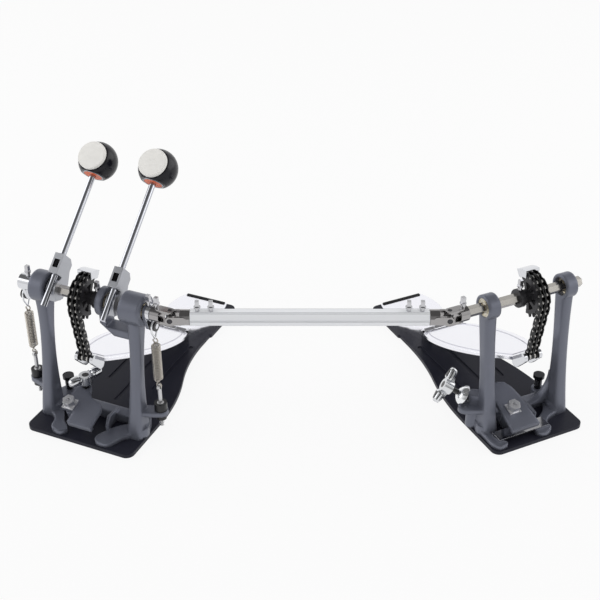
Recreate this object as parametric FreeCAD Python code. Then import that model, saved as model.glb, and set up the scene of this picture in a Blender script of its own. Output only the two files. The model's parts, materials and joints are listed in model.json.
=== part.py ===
import FreeCAD
import Part
import math
import os

# A double bass drum pedal: a primary pedal with two beaters, a slave pedal, and the jointed
# drive shaft between them. Millimetres, +Z up, standing on Z = 0, X along the drive shaft.
# Each pedal is first modelled in its own frame: U along the axle towards the other pedal,
# V from the drum towards the heel, Z up, with the axle over U = V = 0. Angles are in degrees.

# Layout of the two pedals
AXLE_HEIGHT = 175.0
JOINT_SPAN = 306.0
JOINT_REACH = 108.0
PRIMARY_YAW = 23.6
SLAVE_YAW = 25.8

# Clearances
OVERRUN = 2.0
RUN_FIT = 0.05
SEAT_FIT = 0.05
SIDE_GAP = 0.4
SWING_GAP = 1.2

# Base plate
PLATE_LENGTH = 340.0
PLATE_SETBACK = 52.0
PLATE_THICK = 5.0
PRIMARY_PLATE_WIDTH = 144.0
SLAVE_PLATE_WIDTH = 126.0
PLATE_HEEL_WIDTH = 79.0
PLATE_CORNER = 10.0
WAIST_START = 20.0
WAIST_END = 190.0
HEEL_PAD_START = 209.0
HEEL_PAD_STEP = 2.0
GROOVE_WIDTH = 6.0
GROOVE_DEPTH = 1.2
GROOVE_SPACING = 31.0
GROOVE_END = 172.0
SIDE_GROOVE_START = 74.0
MID_GROOVE_START = 37.0

# Cast frame
PRIMARY_HOUSING_RADIUS = 18.5
SLAVE_HOUSING_RADIUS = 14.8
HOUSING_EDGE = 1.5
PRIMARY_OUTER_FACE = 67.0
PRIMARY_OUTER_HOUSING = 19.0
PRIMARY_INNER_FACE = 77.0
PRIMARY_INNER_HOUSING = 26.0
SLAVE_OUTER_FACE = 56.0
SLAVE_INNER_FACE = 64.0
SLAVE_HOUSING = 15.0
POST_WIDTH = 15.0
POST_DEPTH = 19.0
POST_CORNER = 6.0
POST_LEAN = 10.0
PRIMARY_POST_BASE = 60.0
SLAVE_POST_BASE = 50.0
SLAVE_SPARE_EAR = 73.5
POST_TOP_SHARES = (0.60, 1.45)
POST_SHARES = (
    (0.78, 0.98, 1.00, 0.18),
    (0.32, 1.00, 1.05, 0.75),
    (0.00, 1.35, 1.45, 1.00),
)
FOOT_HEIGHT = 6.0
FOOT_RADIUS = 12.5
PRIMARY_OUTER_FOOT_SHARES = (
    (-0.94, -0.27), (-0.74, -0.45), (-0.62, -0.58), (-0.57, -0.75), (-0.54, -0.88), (-0.45, -0.96),
    (-0.31, -0.95), (-0.26, -0.85), (-0.32, -0.71), (-0.42, -0.59), (-0.51, -0.40), (-0.62, -0.19),
    (-0.70, 0.03), (-0.89, 0.07), (-0.97, -0.08),
)
PRIMARY_INNER_FOOT_SHARES = (
    (0.32, -0.92), (0.285, -0.84), (0.31, -0.66), (0.37, -0.49), (0.47, -0.29), (0.67, -0.06),
    (0.90, 0.05), (0.97, -0.10), (0.94, -0.31), (0.79, -0.45), (0.67, -0.62), (0.61, -0.82),
    (0.55, -0.93), (0.44, -0.96),
)
SLAVE_OUTER_FOOT_SHARES = (
    (-0.90, -0.27), (-0.64, -0.46), (-0.43, -0.55), (-0.33, -0.69), (-0.31, -0.86), (-0.21, -0.96),
    (-0.06, -0.96), (0.02, -0.88), (-0.03, -0.68), (-0.19, -0.50), (-0.41, -0.33), (-0.57, -0.10),
    (-0.70, 0.09), (-0.90, 0.06), (-0.96, -0.11),
)
SLAVE_INNER_FOOT_SHARES = (
    (0.86, 0.17), (0.95, -0.06), (0.97, -0.52), (0.96, -0.82), (0.90, -0.94), (0.78, -0.96),
    (0.70, -0.92), (0.71, -0.84), (0.80, -0.74), (0.83, -0.56), (0.77, -0.37), (0.62, -0.22),
    (0.60, 0.06),
)
RIM_WALL = 3.6
RIM_TOP = 16.0
PRIMARY_WALL_SHARES = ((0.31, 0.12), (0.30, -0.26), (0.40, -0.56))
SLAVE_WALL_SHARES = ((-0.17, 0.12), (-0.18, -0.21), (-0.15, -0.46))
BRIDGE_BACK = 6.0
BRIDGE_HEIGHT = 12.0
BRIDGE_RADIUS = 7.0
RING_RADIUS = 17.0
RING_INNER_FACE = 28.5
RING_LENGTH = 7.5
YOKE_DROP = 28.5
YOKE_DEPTH = 9.5
YOKE_WIDTH = 18.0
EAR_RADIUS = 8.5
EAR_THICK = 6.0
EAR_HEIGHT = 34.0
SPUR_BACK = 20.0
SPUR_BOSS = 7.5
SPUR_BOSS_HEIGHT = 12.0

# Axles and bearings
HEX_FLATS = 11.0
JOURNAL_RADIUS = 6.4
BEARING_RADIUS = 11.0
BEARING_WIDTH = 8.0
SHIELD_OUTER = 9.6
SHIELD_INNER = 7.6
SHIELD_DEPTH = 0.8
FACE_INSET = 0.8
SHAFT_GAP = 0.8
SHAFT_STUB = 12.0

# Chain and sprocket
CHAIN_PITCH = 8.0
SPROCKET_TEETH = 20
CHAIN_LEAN = 8.7
WRAP_LINKS = 6
RUN_LINKS = 8
PRIMARY_CHAIN = 0.0
SLAVE_CHAIN = 0.0
STRAND_SPACING = 6.4
LINK_HEIGHT = 7.0
PLATE_GAUGE = 0.9
STRAND_INNER_WIDTH = 2.9
LINK_PLAY = 0.12
ROLLER_RADIUS = 2.5
PIN_RADIUS = 1.2
PIN_HEAD = 0.5
ROUND_SIDES = 10
TOOTH_WIDTH = 2.3
TOOTH_ROOT_GAP = 0.35
TOOTH_BASE = 1.5
TOOTH_TIP = 0.7
RIM_DEPTH = 5.0
RIM_WIDTH = 11.0
SECTOR_LOW = -84.0
SECTOR_HIGH = 124.0
SPOKE_WIDTH = 4.5
SPOKE_THICK = 10.0
SPOKE_COUNT = 5
HUB_RADIUS = 8.0
HUB_COLLAR = 11.0
COLLAR_LENGTH = 7.0
CLIP_THICK = 3.0
CLIP_CHEEK = 1.5
CLIP_SPAN = 32.0
CLIP_FOOT = 10.0
STUB_PLATE_SHARE = 0.2

# Beaters and their hubs
BEATER_TILT = 48.4
BEATER_ROD_RADIUS = 3.7
BEATER_OFFSET = 12.0
BEATER_1_REACH = 156.3
BEATER_2_REACH = 161.6
BEATER_TAIL = 25.0
BEATER_1_PLACE = -40.5
BEATER_2_PLACE = 37.4
HUB_WIDTH = 11.6
HUB_BOSS = 12.5
HUB_LENGTH = 52.0
HUB_DEPTH = 28.0
HUB_PROFILE_SHARES = (
    (0.72, -0.08), (0.62, 0.16), (0.47, 0.16), (0.20, 0.40), (-0.14, 0.40), (-0.29, -0.05),
    (-0.20, -0.25), (0.25, -0.25),
)
GRIP_SHARES = (0.25, 0.72)
GRIP_WALL = 3.4
POCKET_WIDTH = 6.8
POCKET_LENGTH = 10.0
POCKET_DEPTH = 1.8
HEAD_RADIUS = 23.0
STRIKE_DEPTH = 13.8
HEAD_FLAT_DEPTH = 17.6
FELT_RADIUS = 17.2
FELT_THICK = 4.8
FELT_EDGE = 1.6

# Key screws with square heads
KEY_SCREW_RADIUS = 2.5
KEY_SCREW_HEAD = 4.4
KEY_SCREW_FLANGE = 3.8
KEY_HEAD_HEIGHT = 7.0
KEY_FLANGE_HEIGHT = 1.6
KEY_NECK_HEIGHT = 4.0
SUNK_HEAD_HEIGHT = 1.4

# Rockers, stirrups, springs and their tension rods
ROCKER_RADIUS = 18.5
ROCKER_ANGLE = 6.0
ROCKER_COLLAR = 9.6
ROCKER_EYE = 5.5
ROCKER_THICK = 4.0
OUTER_COLLAR_LENGTH = 19.6
INNER_COLLAR_LENGTH = 8.4
OUTER_ARM_OFFSET = 11.0
ROCKER_PIN = 3.0
ROCKER_PIN_LENGTH = 7.6
BUSH_RADIUS = 6.0
BUSH_WIDTH = 7.0
STIRRUP_WIRE = 1.1
STIRRUP_GROOVE = 1.3
STIRRUP_DROP = 17.0
SPRING_RADIUS = 4.95
SPRING_WIRE = 0.8
SPRING_PITCH = 2.15
SPRING_TURNS = 22
SPRING_LEAD = 1.25
HALF_TURN_SAMPLES = 8
TENSION_ROD = 2.4
TENSION_EYE = 3.6
TENSION_EYE_THICK = 3.0
TENSION_TAIL = 17.0
NUT_RADIUS = 7.6
NUT_HEIGHT = 10.0
LOCKNUT_RADIUS = 6.2
LOCKNUT_HEIGHT = 6.5
NUT_FACETS = 24

# Drive shaft
YOKE_RADIUS = 9.0
YOKE_BRIDGE = 10.5
YOKE_EAR_WIDTH = 10.0
YOKE_EAR_THICK = 3.4
YOKE_EAR_INNER = 5.6
CROSS_RADIUS = 2.6
CROSS_CORE = 9.0
CROSS_PLAY = 0.45
TUBE_FLATS = 17.0
TUBE_BORE = 5.9
TUBE_GAP = 22.0
TUBE_GROOVE = 0.9
ROD_RADIUS = 5.8
ROD_A_LENGTH = 48.0
ROD_B_LENGTH = 70.0
TUBE_SCREW_INSET = 8.0
TUBE_SCREW_STEP = 15.0

# Footboard and heel plate
HINGE_BACK = 177.0
HINGE_HEIGHT = 24.0
HINGE_RADIUS = 6.0
HINGE_PIN_RADIUS = 2.6
HINGE_WIDTH = 48.0
HINGE_PIN_OVERHANG = 2.0
KNUCKLE_SHARE = 0.36
BOARD_THICK = 4.0
BOARD_REACH = 196.0
BOARD_WIDTH = 83.0
BOARD_SHARES = (
    (0.02, 0.54), (0.06, 0.70), (0.17, 0.88), (0.35, 0.99), (0.47, 1.00), (0.68, 0.89), (0.91, 0.60),
    (1.00, 0.44),
)
CLEVIS_THICK = 4.0
CLEVIS_EYE = 6.0
CLEVIS_PIN = 1.8
CLEVIS_GAP = 1.0
CHAIN_EYE_RADIUS = 5.2
CHAIN_EYE_BORE = 3.6
CHAIN_EYE_SLEEVE = 4.3
HEEL_LENGTH = 96.0
HEEL_WIDTH = 73.0
HEEL_REAR_HEIGHT = 13.0
HEEL_SHARES = ((0.00, 0.60), (0.12, 0.64), (0.45, 0.96), (0.75, 1.00), (0.97, 0.86))

# Hoop clamps
CLAMP_THICK = 5.0
CLAMP_SLOPE = 18.0
CLAMP_HEIGHT = 30.0
PRIMARY_LIP = 3.0
SLAVE_LIP = 0.6
PRIMARY_BOLT_BACK = -26.0
SLAVE_BOLT_BACK = -20.0
CLAMP_FRONT = 23.0
PRIMARY_CLAMP = 3.0
SLAVE_CLAMP = 20.0
CLAMP_WIDTH = 36.0
PRIMARY_CLAMP_SHARES = (
    (-0.44, -1.00), (0.44, -1.00), (0.44, 0.17), (0.31, 0.52), (-0.08, 0.70), (-0.25, 0.96),
    (-0.31, 1.22), (-0.42, 1.48), (-0.58, 1.54), (-0.75, 1.42), (-0.84, 1.13), (-0.86, 0.78),
    (-0.92, 0.35), (-0.92, -0.30), (-0.44, -0.30),
)
SLAVE_CLAMP_SHARES = (
    (-0.51, -1.22), (0.51, -1.22), (0.47, 0.60), (0.40, 1.20), (0.25, 1.65), (0.00, 1.80),
    (-0.25, 1.65), (-0.40, 1.20), (-0.47, 0.60),
)
PRIMARY_BOLT_SHARE = -0.66
SLAVE_BOLT_SHARE = 0.08
KNOB_SHARE = -0.52
BOLT_RADIUS = 3.5
BOLT_BOSS = 8.0
BOLT_SOCKET = 2.4
BOLT_GRIP = 12.0
CLAMP_NUT_FLATS = 13.0
CLAMP_NUT_HEIGHT = 8.0
CLAMP_WASHER = 15.0
CLAMP_WASHER_THICK = 2.0
BOLT_PLAY = 1.1
KNOB_BACK = 1.0
KNOB_HEIGHT = 49.5
KNOB_SCREW = 3.0
KNOB_HUB = 8.0
KNOB_HUB_HEIGHT = 11.4
KNOB_TURN = 68.0
WING_SPAN = 45.0
WING_HEIGHT = 11.6
WING_THICK = 5.0
JAW_THICK = 2.0
JAW_WIDTH = 70.0
JAW_LENGTH = 16.0
JAW_FRONT = 42.0
JAW_MIDDLE = 17.0
SIDE_WING_LIFT = 31.0
SIDE_WING_SWING = 30.0
SIDE_WING_TURN = 7.0
SIDE_WING_OUT = 16.5
SIDE_WING_BACK = 11.0
SIDE_WING_HEIGHT = 45.0
SIDE_WING_REACH = 22.0
LUG_RADIUS = 7.0
CUP_RADIUS = 13.0
CUP_DEPTH = 9.0
SPUR_RADIUS = 4.0
SPUR_HEAD = 7.0
SPUR_HEAD_HEIGHT = 4.5
SPUR_TOP = 37.0
SPUR_TIP = 2.0
SPUR_SHIFT = 4.5

# Worked out from the sizes above
LINK_STEP = 360.0 / SPROCKET_TEETH
PITCH_RADIUS = CHAIN_PITCH / (2 * math.sin(math.radians(LINK_STEP / 2)))
HEX_CORNER = HEX_FLATS / math.sqrt(3)
PRIMARY_PIN_V = ROCKER_RADIUS * math.sin(math.radians(ROCKER_ANGLE))
PRIMARY_PIN_Z = AXLE_HEIGHT - ROCKER_RADIUS * math.cos(math.radians(ROCKER_ANGLE))
ARM_TO_SPRING = ROCKER_THICK + ROCKER_PIN_LENGTH / 2
OUTER_SPRING = -(PRIMARY_OUTER_FACE + OUTER_ARM_OFFSET + SIDE_GAP + ARM_TO_SPRING)
INNER_SPRING = PRIMARY_INNER_FACE + SIDE_GAP + ARM_TO_SPRING
SPRING_TOP = PRIMARY_PIN_Z - STIRRUP_DROP - STIRRUP_WIRE
SPRING_ENDS = 2 * SPRING_LEAD * SPRING_RADIUS + 4 * SPRING_WIRE
SPRING_FOOT = SPRING_TOP - SPRING_PITCH * SPRING_TURNS - SPRING_ENDS


def vec(u, v, z):
    return FreeCAD.Vector(u, v, z)


AXIS_U = vec(1, 0, 0)
AXIS_V = vec(0, 1, 0)
AXIS_Z = vec(0, 0, 1)
ORIGIN = vec(0, 0, 0)


def cylinder_u(radius, u0, u1, v=0, z=0):
    return Part.makeCylinder(radius, u1 - u0, vec(u0, v, z), AXIS_U)


def cylinder_z(radius, z0, z1, u=0, v=0):
    return Part.makeCylinder(radius, z1 - z0, vec(u, v, z0), AXIS_Z)


def block(u0, u1, v0, v1, z0, z1):
    return Part.makeBox(u1 - u0, v1 - v0, z1 - z0, vec(u0, v0, z0))


def fuse(shapes):
    return shapes[0].multiFuse(shapes[1:]).removeSplitter()


def polygon_face(points):
    return Part.Face(Part.makePolygon(points + points[:1]))


def prism_u(points, u0, u1):
    """Extrude an outline of (v, z) points along the axle."""
    return polygon_face([vec(u0, v, z) for v, z in points]).extrude(AXIS_U * (u1 - u0))


def prism_z(points, z0, z1):
    """Extrude an outline of (u, v) points upwards."""
    return polygon_face([vec(u, v, z0) for u, v in points]).extrude(AXIS_Z * (z1 - z0))


def capsule_face(place, first, first_radius, second, second_radius):
    """The outline round two circles and their outer tangents; place turns (a, b) into a point."""
    reach = math.hypot(second[0] - first[0], second[1] - first[1])
    heading = math.atan2(second[1] - first[1], second[0] - first[0])
    spread = math.acos((first_radius - second_radius) / reach)

    def on(centre, radius, angle):
        return place(centre[0] + radius * math.cos(angle), centre[1] + radius * math.sin(angle))

    low, high = heading - spread, heading + spread
    near = [on(first, first_radius, angle) for angle in (high, heading + math.pi, low)]
    far = [on(second, second_radius, angle) for angle in (low, heading, high)]
    edges = [
        Part.Arc(*near).toShape(),
        Part.LineSegment(near[2], far[0]).toShape(),
        Part.Arc(*far).toShape(),
        Part.LineSegment(far[2], near[0]).toShape(),
    ]
    return Part.Face(Part.Wire(edges))


def capsule_u(first, first_radius, second, second_radius, u0, u1):
    """A two-circle plate standing across the axle, its circles at (v, z)."""
    face = capsule_face(lambda v, z: vec(u0, v, z), first, first_radius, second, second_radius)
    return face.extrude(AXIS_U * (u1 - u0))


def capsule_z(first, first_radius, second, second_radius, z0, z1):
    """A two-circle plate lying flat, its circles at (u, v)."""
    face = capsule_face(lambda u, v: vec(u, v, z0), first, first_radius, second, second_radius)
    return face.extrude(AXIS_Z * (z1 - z0))


def ring_points(radius, sides, turn=0.0):
    step = 2 * math.pi / sides
    angles = [math.radians(turn) + step * index for index in range(sides)]
    return [(radius * math.cos(angle), radius * math.sin(angle)) for angle in angles]


def hex_bar(flats, u0, u1, z=0):
    corner = flats / math.sqrt(3)
    return prism_u([(v, z + height) for v, height in ring_points(corner, 6)], u0, u1)


def softened(shape, radius):
    """Round the two closed rims of a plain cylinder."""
    return shape.makeFillet(radius, [edge for edge in shape.Edges if edge.isClosed()])


def leaf_face(shares, length, width):
    """A symmetric outline from (length share, width share) pairs, its sides smooth curves."""
    right = [vec(width / 2 * across, length * along, 0) for along, across in shares]
    left = [vec(-point.x, point.y, 0) for point in reversed(right)]
    edges = []
    for side in (right, left):
        curve = Part.BSplineCurve()
        curve.interpolate(side)
        edges.append(curve.toShape())
    edges.insert(1, Part.LineSegment(right[-1], left[0]).toShape())
    edges.append(Part.LineSegment(left[-1], right[0]).toShape())
    return Part.Face(Part.Wire(edges))


def rounded_rectangle(u, v, z, width, depth, corner):
    half_u, half_v = width / 2, depth / 2
    lean = corner * (1 - math.sqrt(0.5))
    edges = []
    corners = ((1, 1), (-1, 1), (-1, -1), (1, -1))
    ends = []
    for along, across in corners:
        tip_u, tip_v = u + along * half_u, v + across * half_v
        on_side = vec(tip_u, tip_v - across * corner, z)
        on_end = vec(tip_u - along * corner, tip_v, z)
        middle = vec(tip_u - along * lean, tip_v - across * lean, z)
        start, stop = (on_side, on_end) if along * across > 0 else (on_end, on_side)
        ends.append((start, middle, stop))
    for index, (start, middle, stop) in enumerate(ends):
        edges.append(Part.Arc(start, middle, stop).toShape())
        edges.append(Part.LineSegment(stop, ends[(index + 1) % len(ends)][0]).toShape())
    return Part.Wire(edges)


class Pedal:
    """One pedal's own frame and the sizes that differ between the two."""

    def __init__(self, side, yaw, plate_width, radius, outer, inner, base, chain, feet, wall, clamp):
        self.side = side
        self.yaw = yaw
        self.plate_width = plate_width
        self.radius = radius
        self.outer_face, self.outer_housing = outer
        self.inner_face, self.inner_housing = inner
        self.base = base
        self.chain = chain
        self.outer_foot, self.inner_foot = feet
        self.wall = wall
        self.clamp, self.bolt, self.bolt_back, self.lip, self.clamp_shares = clamp
        self.axle = self.turned(vec(side, 0, 0))
        self.origin = vec(side * -JOINT_SPAN / 2, 0, 0) - self.turned(vec(JOINT_REACH * side, 0, 0))

    def turned(self, vector):
        return FreeCAD.Rotation(AXIS_Z, -self.side * self.yaw).multVec(vector)

    def point(self, u, v, z):
        """A point of the pedal's own frame, in the part's layout frame."""
        return self.origin + self.turned(vec(self.side * u, v, z))

    def place(self, shape):
        """Carry a shape from the pedal's own frame to the layout frame."""
        moved = shape.copy() if self.side > 0 else shape.mirror(ORIGIN, AXIS_U)
        moved.rotate(ORIGIN, AXIS_Z, -self.side * self.yaw)
        moved.translate(self.origin)
        return moved

    def on_plate(self, share):
        """A (u, v) place on the front of the base plate, from shares of its half width and setback."""
        return share[0] * self.plate_width / 2, share[1] * PLATE_SETBACK

    def post_middles(self):
        outer = -self.outer_face + self.outer_housing / 2
        inner = self.inner_face - self.inner_housing / 2
        return outer, inner


PRIMARY = Pedal(
    1, PRIMARY_YAW, PRIMARY_PLATE_WIDTH, PRIMARY_HOUSING_RADIUS,
    (PRIMARY_OUTER_FACE, PRIMARY_OUTER_HOUSING), (PRIMARY_INNER_FACE, PRIMARY_INNER_HOUSING),
    PRIMARY_POST_BASE, PRIMARY_CHAIN, (PRIMARY_OUTER_FOOT_SHARES, PRIMARY_INNER_FOOT_SHARES),
    PRIMARY_WALL_SHARES,
    (PRIMARY_CLAMP, PRIMARY_CLAMP + PRIMARY_BOLT_SHARE * CLAMP_WIDTH, PRIMARY_BOLT_BACK, PRIMARY_LIP,
     PRIMARY_CLAMP_SHARES),
)
SLAVE = Pedal(
    -1, SLAVE_YAW, SLAVE_PLATE_WIDTH, SLAVE_HOUSING_RADIUS,
    (SLAVE_OUTER_FACE, SLAVE_HOUSING), (SLAVE_INNER_FACE, SLAVE_HOUSING),
    SLAVE_POST_BASE, SLAVE_CHAIN, (SLAVE_OUTER_FOOT_SHARES, SLAVE_INNER_FOOT_SHARES),
    SLAVE_WALL_SHARES,
    (SLAVE_CLAMP, SLAVE_CLAMP + SLAVE_BOLT_SHARE * CLAMP_WIDTH, SLAVE_BOLT_BACK, SLAVE_LIP,
     SLAVE_CLAMP_SHARES),
)


# Base plate


def plate_side(front, heel):
    """The plate's right-hand edge, from the front centre line to the rear one."""
    rear = PLATE_LENGTH - PLATE_SETBACK
    foot = heel + HEEL_PAD_STEP
    half_run = (WAIST_END - WAIST_START) / 2
    drop = front - heel
    radius = (half_run * half_run * 4 + drop * drop) / (4 * drop)
    swing = math.asin(half_run / radius) / 2
    bow, run = radius * (1 - math.cos(swing)), radius * math.sin(swing)
    lean = PLATE_CORNER * (1 - math.sqrt(0.5))
    middle = vec((front + heel) / 2, (WAIST_START + WAIST_END) / 2, 0)

    def line(start, stop):
        return Part.LineSegment(start, stop).toShape()

    front_end = vec(front - PLATE_CORNER, -PLATE_SETBACK, 0)
    front_side = vec(front, PLATE_CORNER - PLATE_SETBACK, 0)
    front_mid = vec(front - lean, lean - PLATE_SETBACK, 0)
    rear_side = vec(foot, rear - PLATE_CORNER, 0)
    rear_mid = vec(foot - lean, rear - lean, 0)
    rear_end = vec(foot - PLATE_CORNER, rear, 0)
    waist_in, waist_out = vec(front, WAIST_START, 0), vec(heel, WAIST_END, 0)
    pad_in = vec(heel, HEEL_PAD_START, 0)
    pad_out = vec(foot, HEEL_PAD_START + HEEL_PAD_STEP, 0)
    return [
        line(vec(0, -PLATE_SETBACK, 0), front_end),
        Part.Arc(front_end, front_mid, front_side).toShape(),
        line(front_side, waist_in),
        Part.Arc(waist_in, vec(front - bow, WAIST_START + run, 0), middle).toShape(),
        Part.Arc(middle, vec(heel + bow, WAIST_END - run, 0), waist_out).toShape(),
        line(waist_out, pad_in),
        line(pad_in, pad_out),
        line(pad_out, rear_side),
        Part.Arc(rear_side, rear_mid, rear_end).toShape(),
        line(rear_end, vec(0, rear, 0)),
    ]


def base_plate(pedal):
    half = Part.Wire(plate_side(pedal.plate_width / 2, PLATE_HEEL_WIDTH / 2))
    closed = Part.Wire(half.Edges + [Part.LineSegment(half.OrderedVertexes[-1].Point,
                                                      half.OrderedVertexes[0].Point).toShape()])
    right = Part.Face(closed).extrude(AXIS_Z * PLATE_THICK)
    plate = fuse([right, right.mirror(ORIGIN, AXIS_U)])
    floor = PLATE_THICK - GROOVE_DEPTH
    grooves = []
    for place, start in ((-1, SIDE_GROOVE_START), (0, MID_GROOVE_START), (1, SIDE_GROOVE_START)):
        across = place * GROOVE_SPACING
        grooves.append(capsule_z((across, start), GROOVE_WIDTH / 2, (across, GROOVE_END),
                                 GROOVE_WIDTH / 2, floor, PLATE_THICK + OVERRUN))
    spur = cylinder_z(SPUR_RADIUS + SIDE_GAP, -OVERRUN, PLATE_THICK + OVERRUN, *spur_place(pedal))
    return plate.cut(grooves + [spur])


# Cast frame


def spur_place(pedal):
    return SPUR_SHIFT - pedal.base, SPUR_BACK


def post(radius, top, base):
    """A cast upright that leans forward and sideways from its housing to its foot."""
    sunk, depth = POST_TOP_SHARES
    wires = [rounded_rectangle(top, 0, AXLE_HEIGHT - sunk * radius, POST_WIDTH, depth * radius, POST_CORNER)]
    for height, width, depth, lean in POST_SHARES:
        z = PLATE_THICK + height * (AXLE_HEIGHT - PLATE_THICK)
        wires.append(rounded_rectangle(top + lean * (base - top), -lean * POST_LEAN, z, POST_WIDTH * width,
                                       POST_DEPTH * depth, POST_CORNER))
    return Part.makeLoft(wires, True)


def housing(radius, start, length):
    shell = cylinder_u(radius, start, start + length, 0, AXLE_HEIGHT)
    return softened(shell, HOUSING_EDGE)


def foot(pedal, centre, shares):
    """A swept pad from the post forward to its rounded tip, and the block back to the bridge."""
    points = [vec(*pedal.on_plate(share), PLATE_THICK) for share in shares]
    outline = Part.BSplineCurve()
    outline.interpolate(Points=points, PeriodicFlag=True)
    ahead = Part.Face(Part.Wire(outline.toShape())).extrude(AXIS_Z * FOOT_HEIGHT)
    behind = capsule_z((centre, -POST_LEAN), FOOT_RADIUS, (centre, BRIDGE_BACK), BRIDGE_RADIUS,
                       PLATE_THICK, PLATE_THICK + BRIDGE_HEIGHT)
    return [ahead, behind]


def cradle_wall(pedal):
    """The low cast wall that runs forward from the bridge beside the hoop clamp."""
    stops = [pedal.on_plate(share) for share in pedal.wall]
    half = RIM_WALL / 2
    return [capsule_z(first, half, second, half, PLATE_THICK, PLATE_THICK + RIM_TOP)
            for first, second in zip(stops, stops[1:])]


def spring_ear(post_centre, place, gap=0):
    """A flat ear from the post to the spring's line; gap widens it to clear a neighbour."""
    middle = -POST_LEAN * POST_SHARES[1][3]
    return capsule_z((post_centre, middle), POST_WIDTH / 2 + gap, (place, PRIMARY_PIN_V), EAR_RADIUS + gap,
                     EAR_HEIGHT - gap, EAR_HEIGHT + EAR_THICK + gap)


def ear_hole(place):
    return cylinder_z(TENSION_ROD + SIDE_GAP, EAR_HEIGHT - OVERRUN, EAR_HEIGHT + EAR_THICK + OVERRUN,
                      place, PRIMARY_PIN_V)


def middle_yoke():
    """The ring beside the second beater and the web that carries it under the beater's sweep."""
    ring = cylinder_u(RING_RADIUS, RING_INNER_FACE - RING_LENGTH, RING_INNER_FACE, 0, AXLE_HEIGHT)
    inner = PRIMARY.post_middles()[1]
    ring_side = RING_INNER_FACE - RING_LENGTH
    top = AXLE_HEIGHT - YOKE_DROP
    low = top - YOKE_DEPTH
    outline = [
        (ring_side, AXLE_HEIGHT - BEARING_RADIUS), (RING_INNER_FACE, AXLE_HEIGHT - BEARING_RADIUS),
        (RING_INNER_FACE, top), (inner, top), (inner, low),
        (RING_INNER_FACE + YOKE_DEPTH, low), (ring_side, top + RING_LENGTH / 2),
    ]
    points = [vec(u, -YOKE_WIDTH / 2, z) for u, z in outline]
    web = polygon_face(points).extrude(AXIS_V * YOKE_WIDTH)
    return [ring, web]


def clamp_placed(pedal, shape):
    """Carry a hoop clamp piece from its flat layout, bolt at the origin, to its slope."""
    moved = shape.copy()
    moved.rotate(ORIGIN, AXIS_U, CLAMP_SLOPE)
    moved.translate(vec(pedal.bolt, pedal.bolt_back, CLAMP_HEIGHT))
    return moved


def bolt_boss(pedal):
    """The frame's stub under the clamp bolt, with its rib back to the bridge."""
    boss = clamp_placed(pedal, cylinder_z(BOLT_BOSS, -CLAMP_HEIGHT, 0))
    under = block(-PLATE_LENGTH, PLATE_LENGTH, -PLATE_LENGTH, PLATE_LENGTH, -PLATE_LENGTH, PLATE_THICK)
    rib = capsule_z((pedal.bolt, pedal.bolt_back + BOLT_BOSS), BOLT_BOSS, (pedal.bolt, BRIDGE_BACK),
                    BRIDGE_RADIUS, PLATE_THICK, PLATE_THICK + FOOT_HEIGHT)
    return [boss.cut(under), rib]


def bolt_hole(pedal):
    hole = cylinder_z(BOLT_RADIUS + BOLT_PLAY, -BOLT_GRIP - OVERRUN, OVERRUN)
    return clamp_placed(pedal, hole)


def frame(pedal):
    outer, inner = pedal.post_middles()
    pieces = [
        housing(pedal.radius, -pedal.outer_face, pedal.outer_housing),
        housing(pedal.radius, pedal.inner_face - pedal.inner_housing, pedal.inner_housing),
    ]
    sides = ((outer, -pedal.base, pedal.outer_foot), (inner, pedal.base, pedal.inner_foot))
    for centre, base, shares in sides:
        pieces.append(post(pedal.radius, centre, base))
        pieces += foot(pedal, base, shares)
    pieces += cradle_wall(pedal)
    pieces.append(capsule_z((-pedal.base, BRIDGE_BACK), BRIDGE_RADIUS, (pedal.base, BRIDGE_BACK),
                            BRIDGE_RADIUS, PLATE_THICK, PLATE_THICK + BRIDGE_HEIGHT))
    pieces += bolt_boss(pedal)
    spur_u, spur_v = spur_place(pedal)
    pieces.append(capsule_z((-pedal.base, 0), FOOT_RADIUS, (spur_u, spur_v), SPUR_BOSS, PLATE_THICK,
                            PLATE_THICK + SPUR_BOSS_HEIGHT))
    springs = spring_places(pedal)
    pieces += [spring_ear(outer if place < 0 else inner, place) for place in springs]
    if pedal is PRIMARY:
        pieces += middle_yoke()
    else:
        pieces.append(wing_boss())
    bore = BEARING_RADIUS + SEAT_FIT
    cuts = [cylinder_u(bore, -pedal.outer_face - OVERRUN, pedal.outer_housing - pedal.outer_face + OVERRUN,
                       0, AXLE_HEIGHT),
            cylinder_u(bore, pedal.inner_face - pedal.inner_housing - OVERRUN, pedal.inner_face + OVERRUN,
                       0, AXLE_HEIGHT),
            cylinder_z(SPUR_RADIUS + RUN_FIT, -OVERRUN, PLATE_THICK + SPUR_BOSS_HEIGHT + OVERRUN,
                       spur_u, spur_v),
            bolt_hole(pedal)]
    if pedal is PRIMARY:
        cuts.append(cylinder_u(bore, RING_INNER_FACE - RING_LENGTH - OVERRUN, RING_INNER_FACE + OVERRUN,
                               0, AXLE_HEIGHT))
    else:
        cuts.append(wing_hole())
    cuts += [ear_hole(place) for place in springs]
    return pieces[0].multiFuse(pieces[1:]).cut(cuts)


def spring_places(pedal):
    if pedal is PRIMARY:
        return OUTER_SPRING, INNER_SPRING
    return (SLAVE_SPARE_EAR,)


# Bearings and axles


def bearing(start, width):
    ring = cylinder_u(BEARING_RADIUS, start, start + width, 0, AXLE_HEIGHT)
    bore = cylinder_u(JOURNAL_RADIUS + RUN_FIT, start - OVERRUN, start + width + OVERRUN, 0, AXLE_HEIGHT)
    shields = []
    for near in (start - OVERRUN, start + width - SHIELD_DEPTH):
        far = near + SHIELD_DEPTH + OVERRUN
        wide = cylinder_u(SHIELD_OUTER, near, far, 0, AXLE_HEIGHT)
        narrow = cylinder_u(SHIELD_INNER, near, far, 0, AXLE_HEIGHT)
        shields.append(wide.cut(narrow))
    return ring.cut([bore] + shields)


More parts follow.
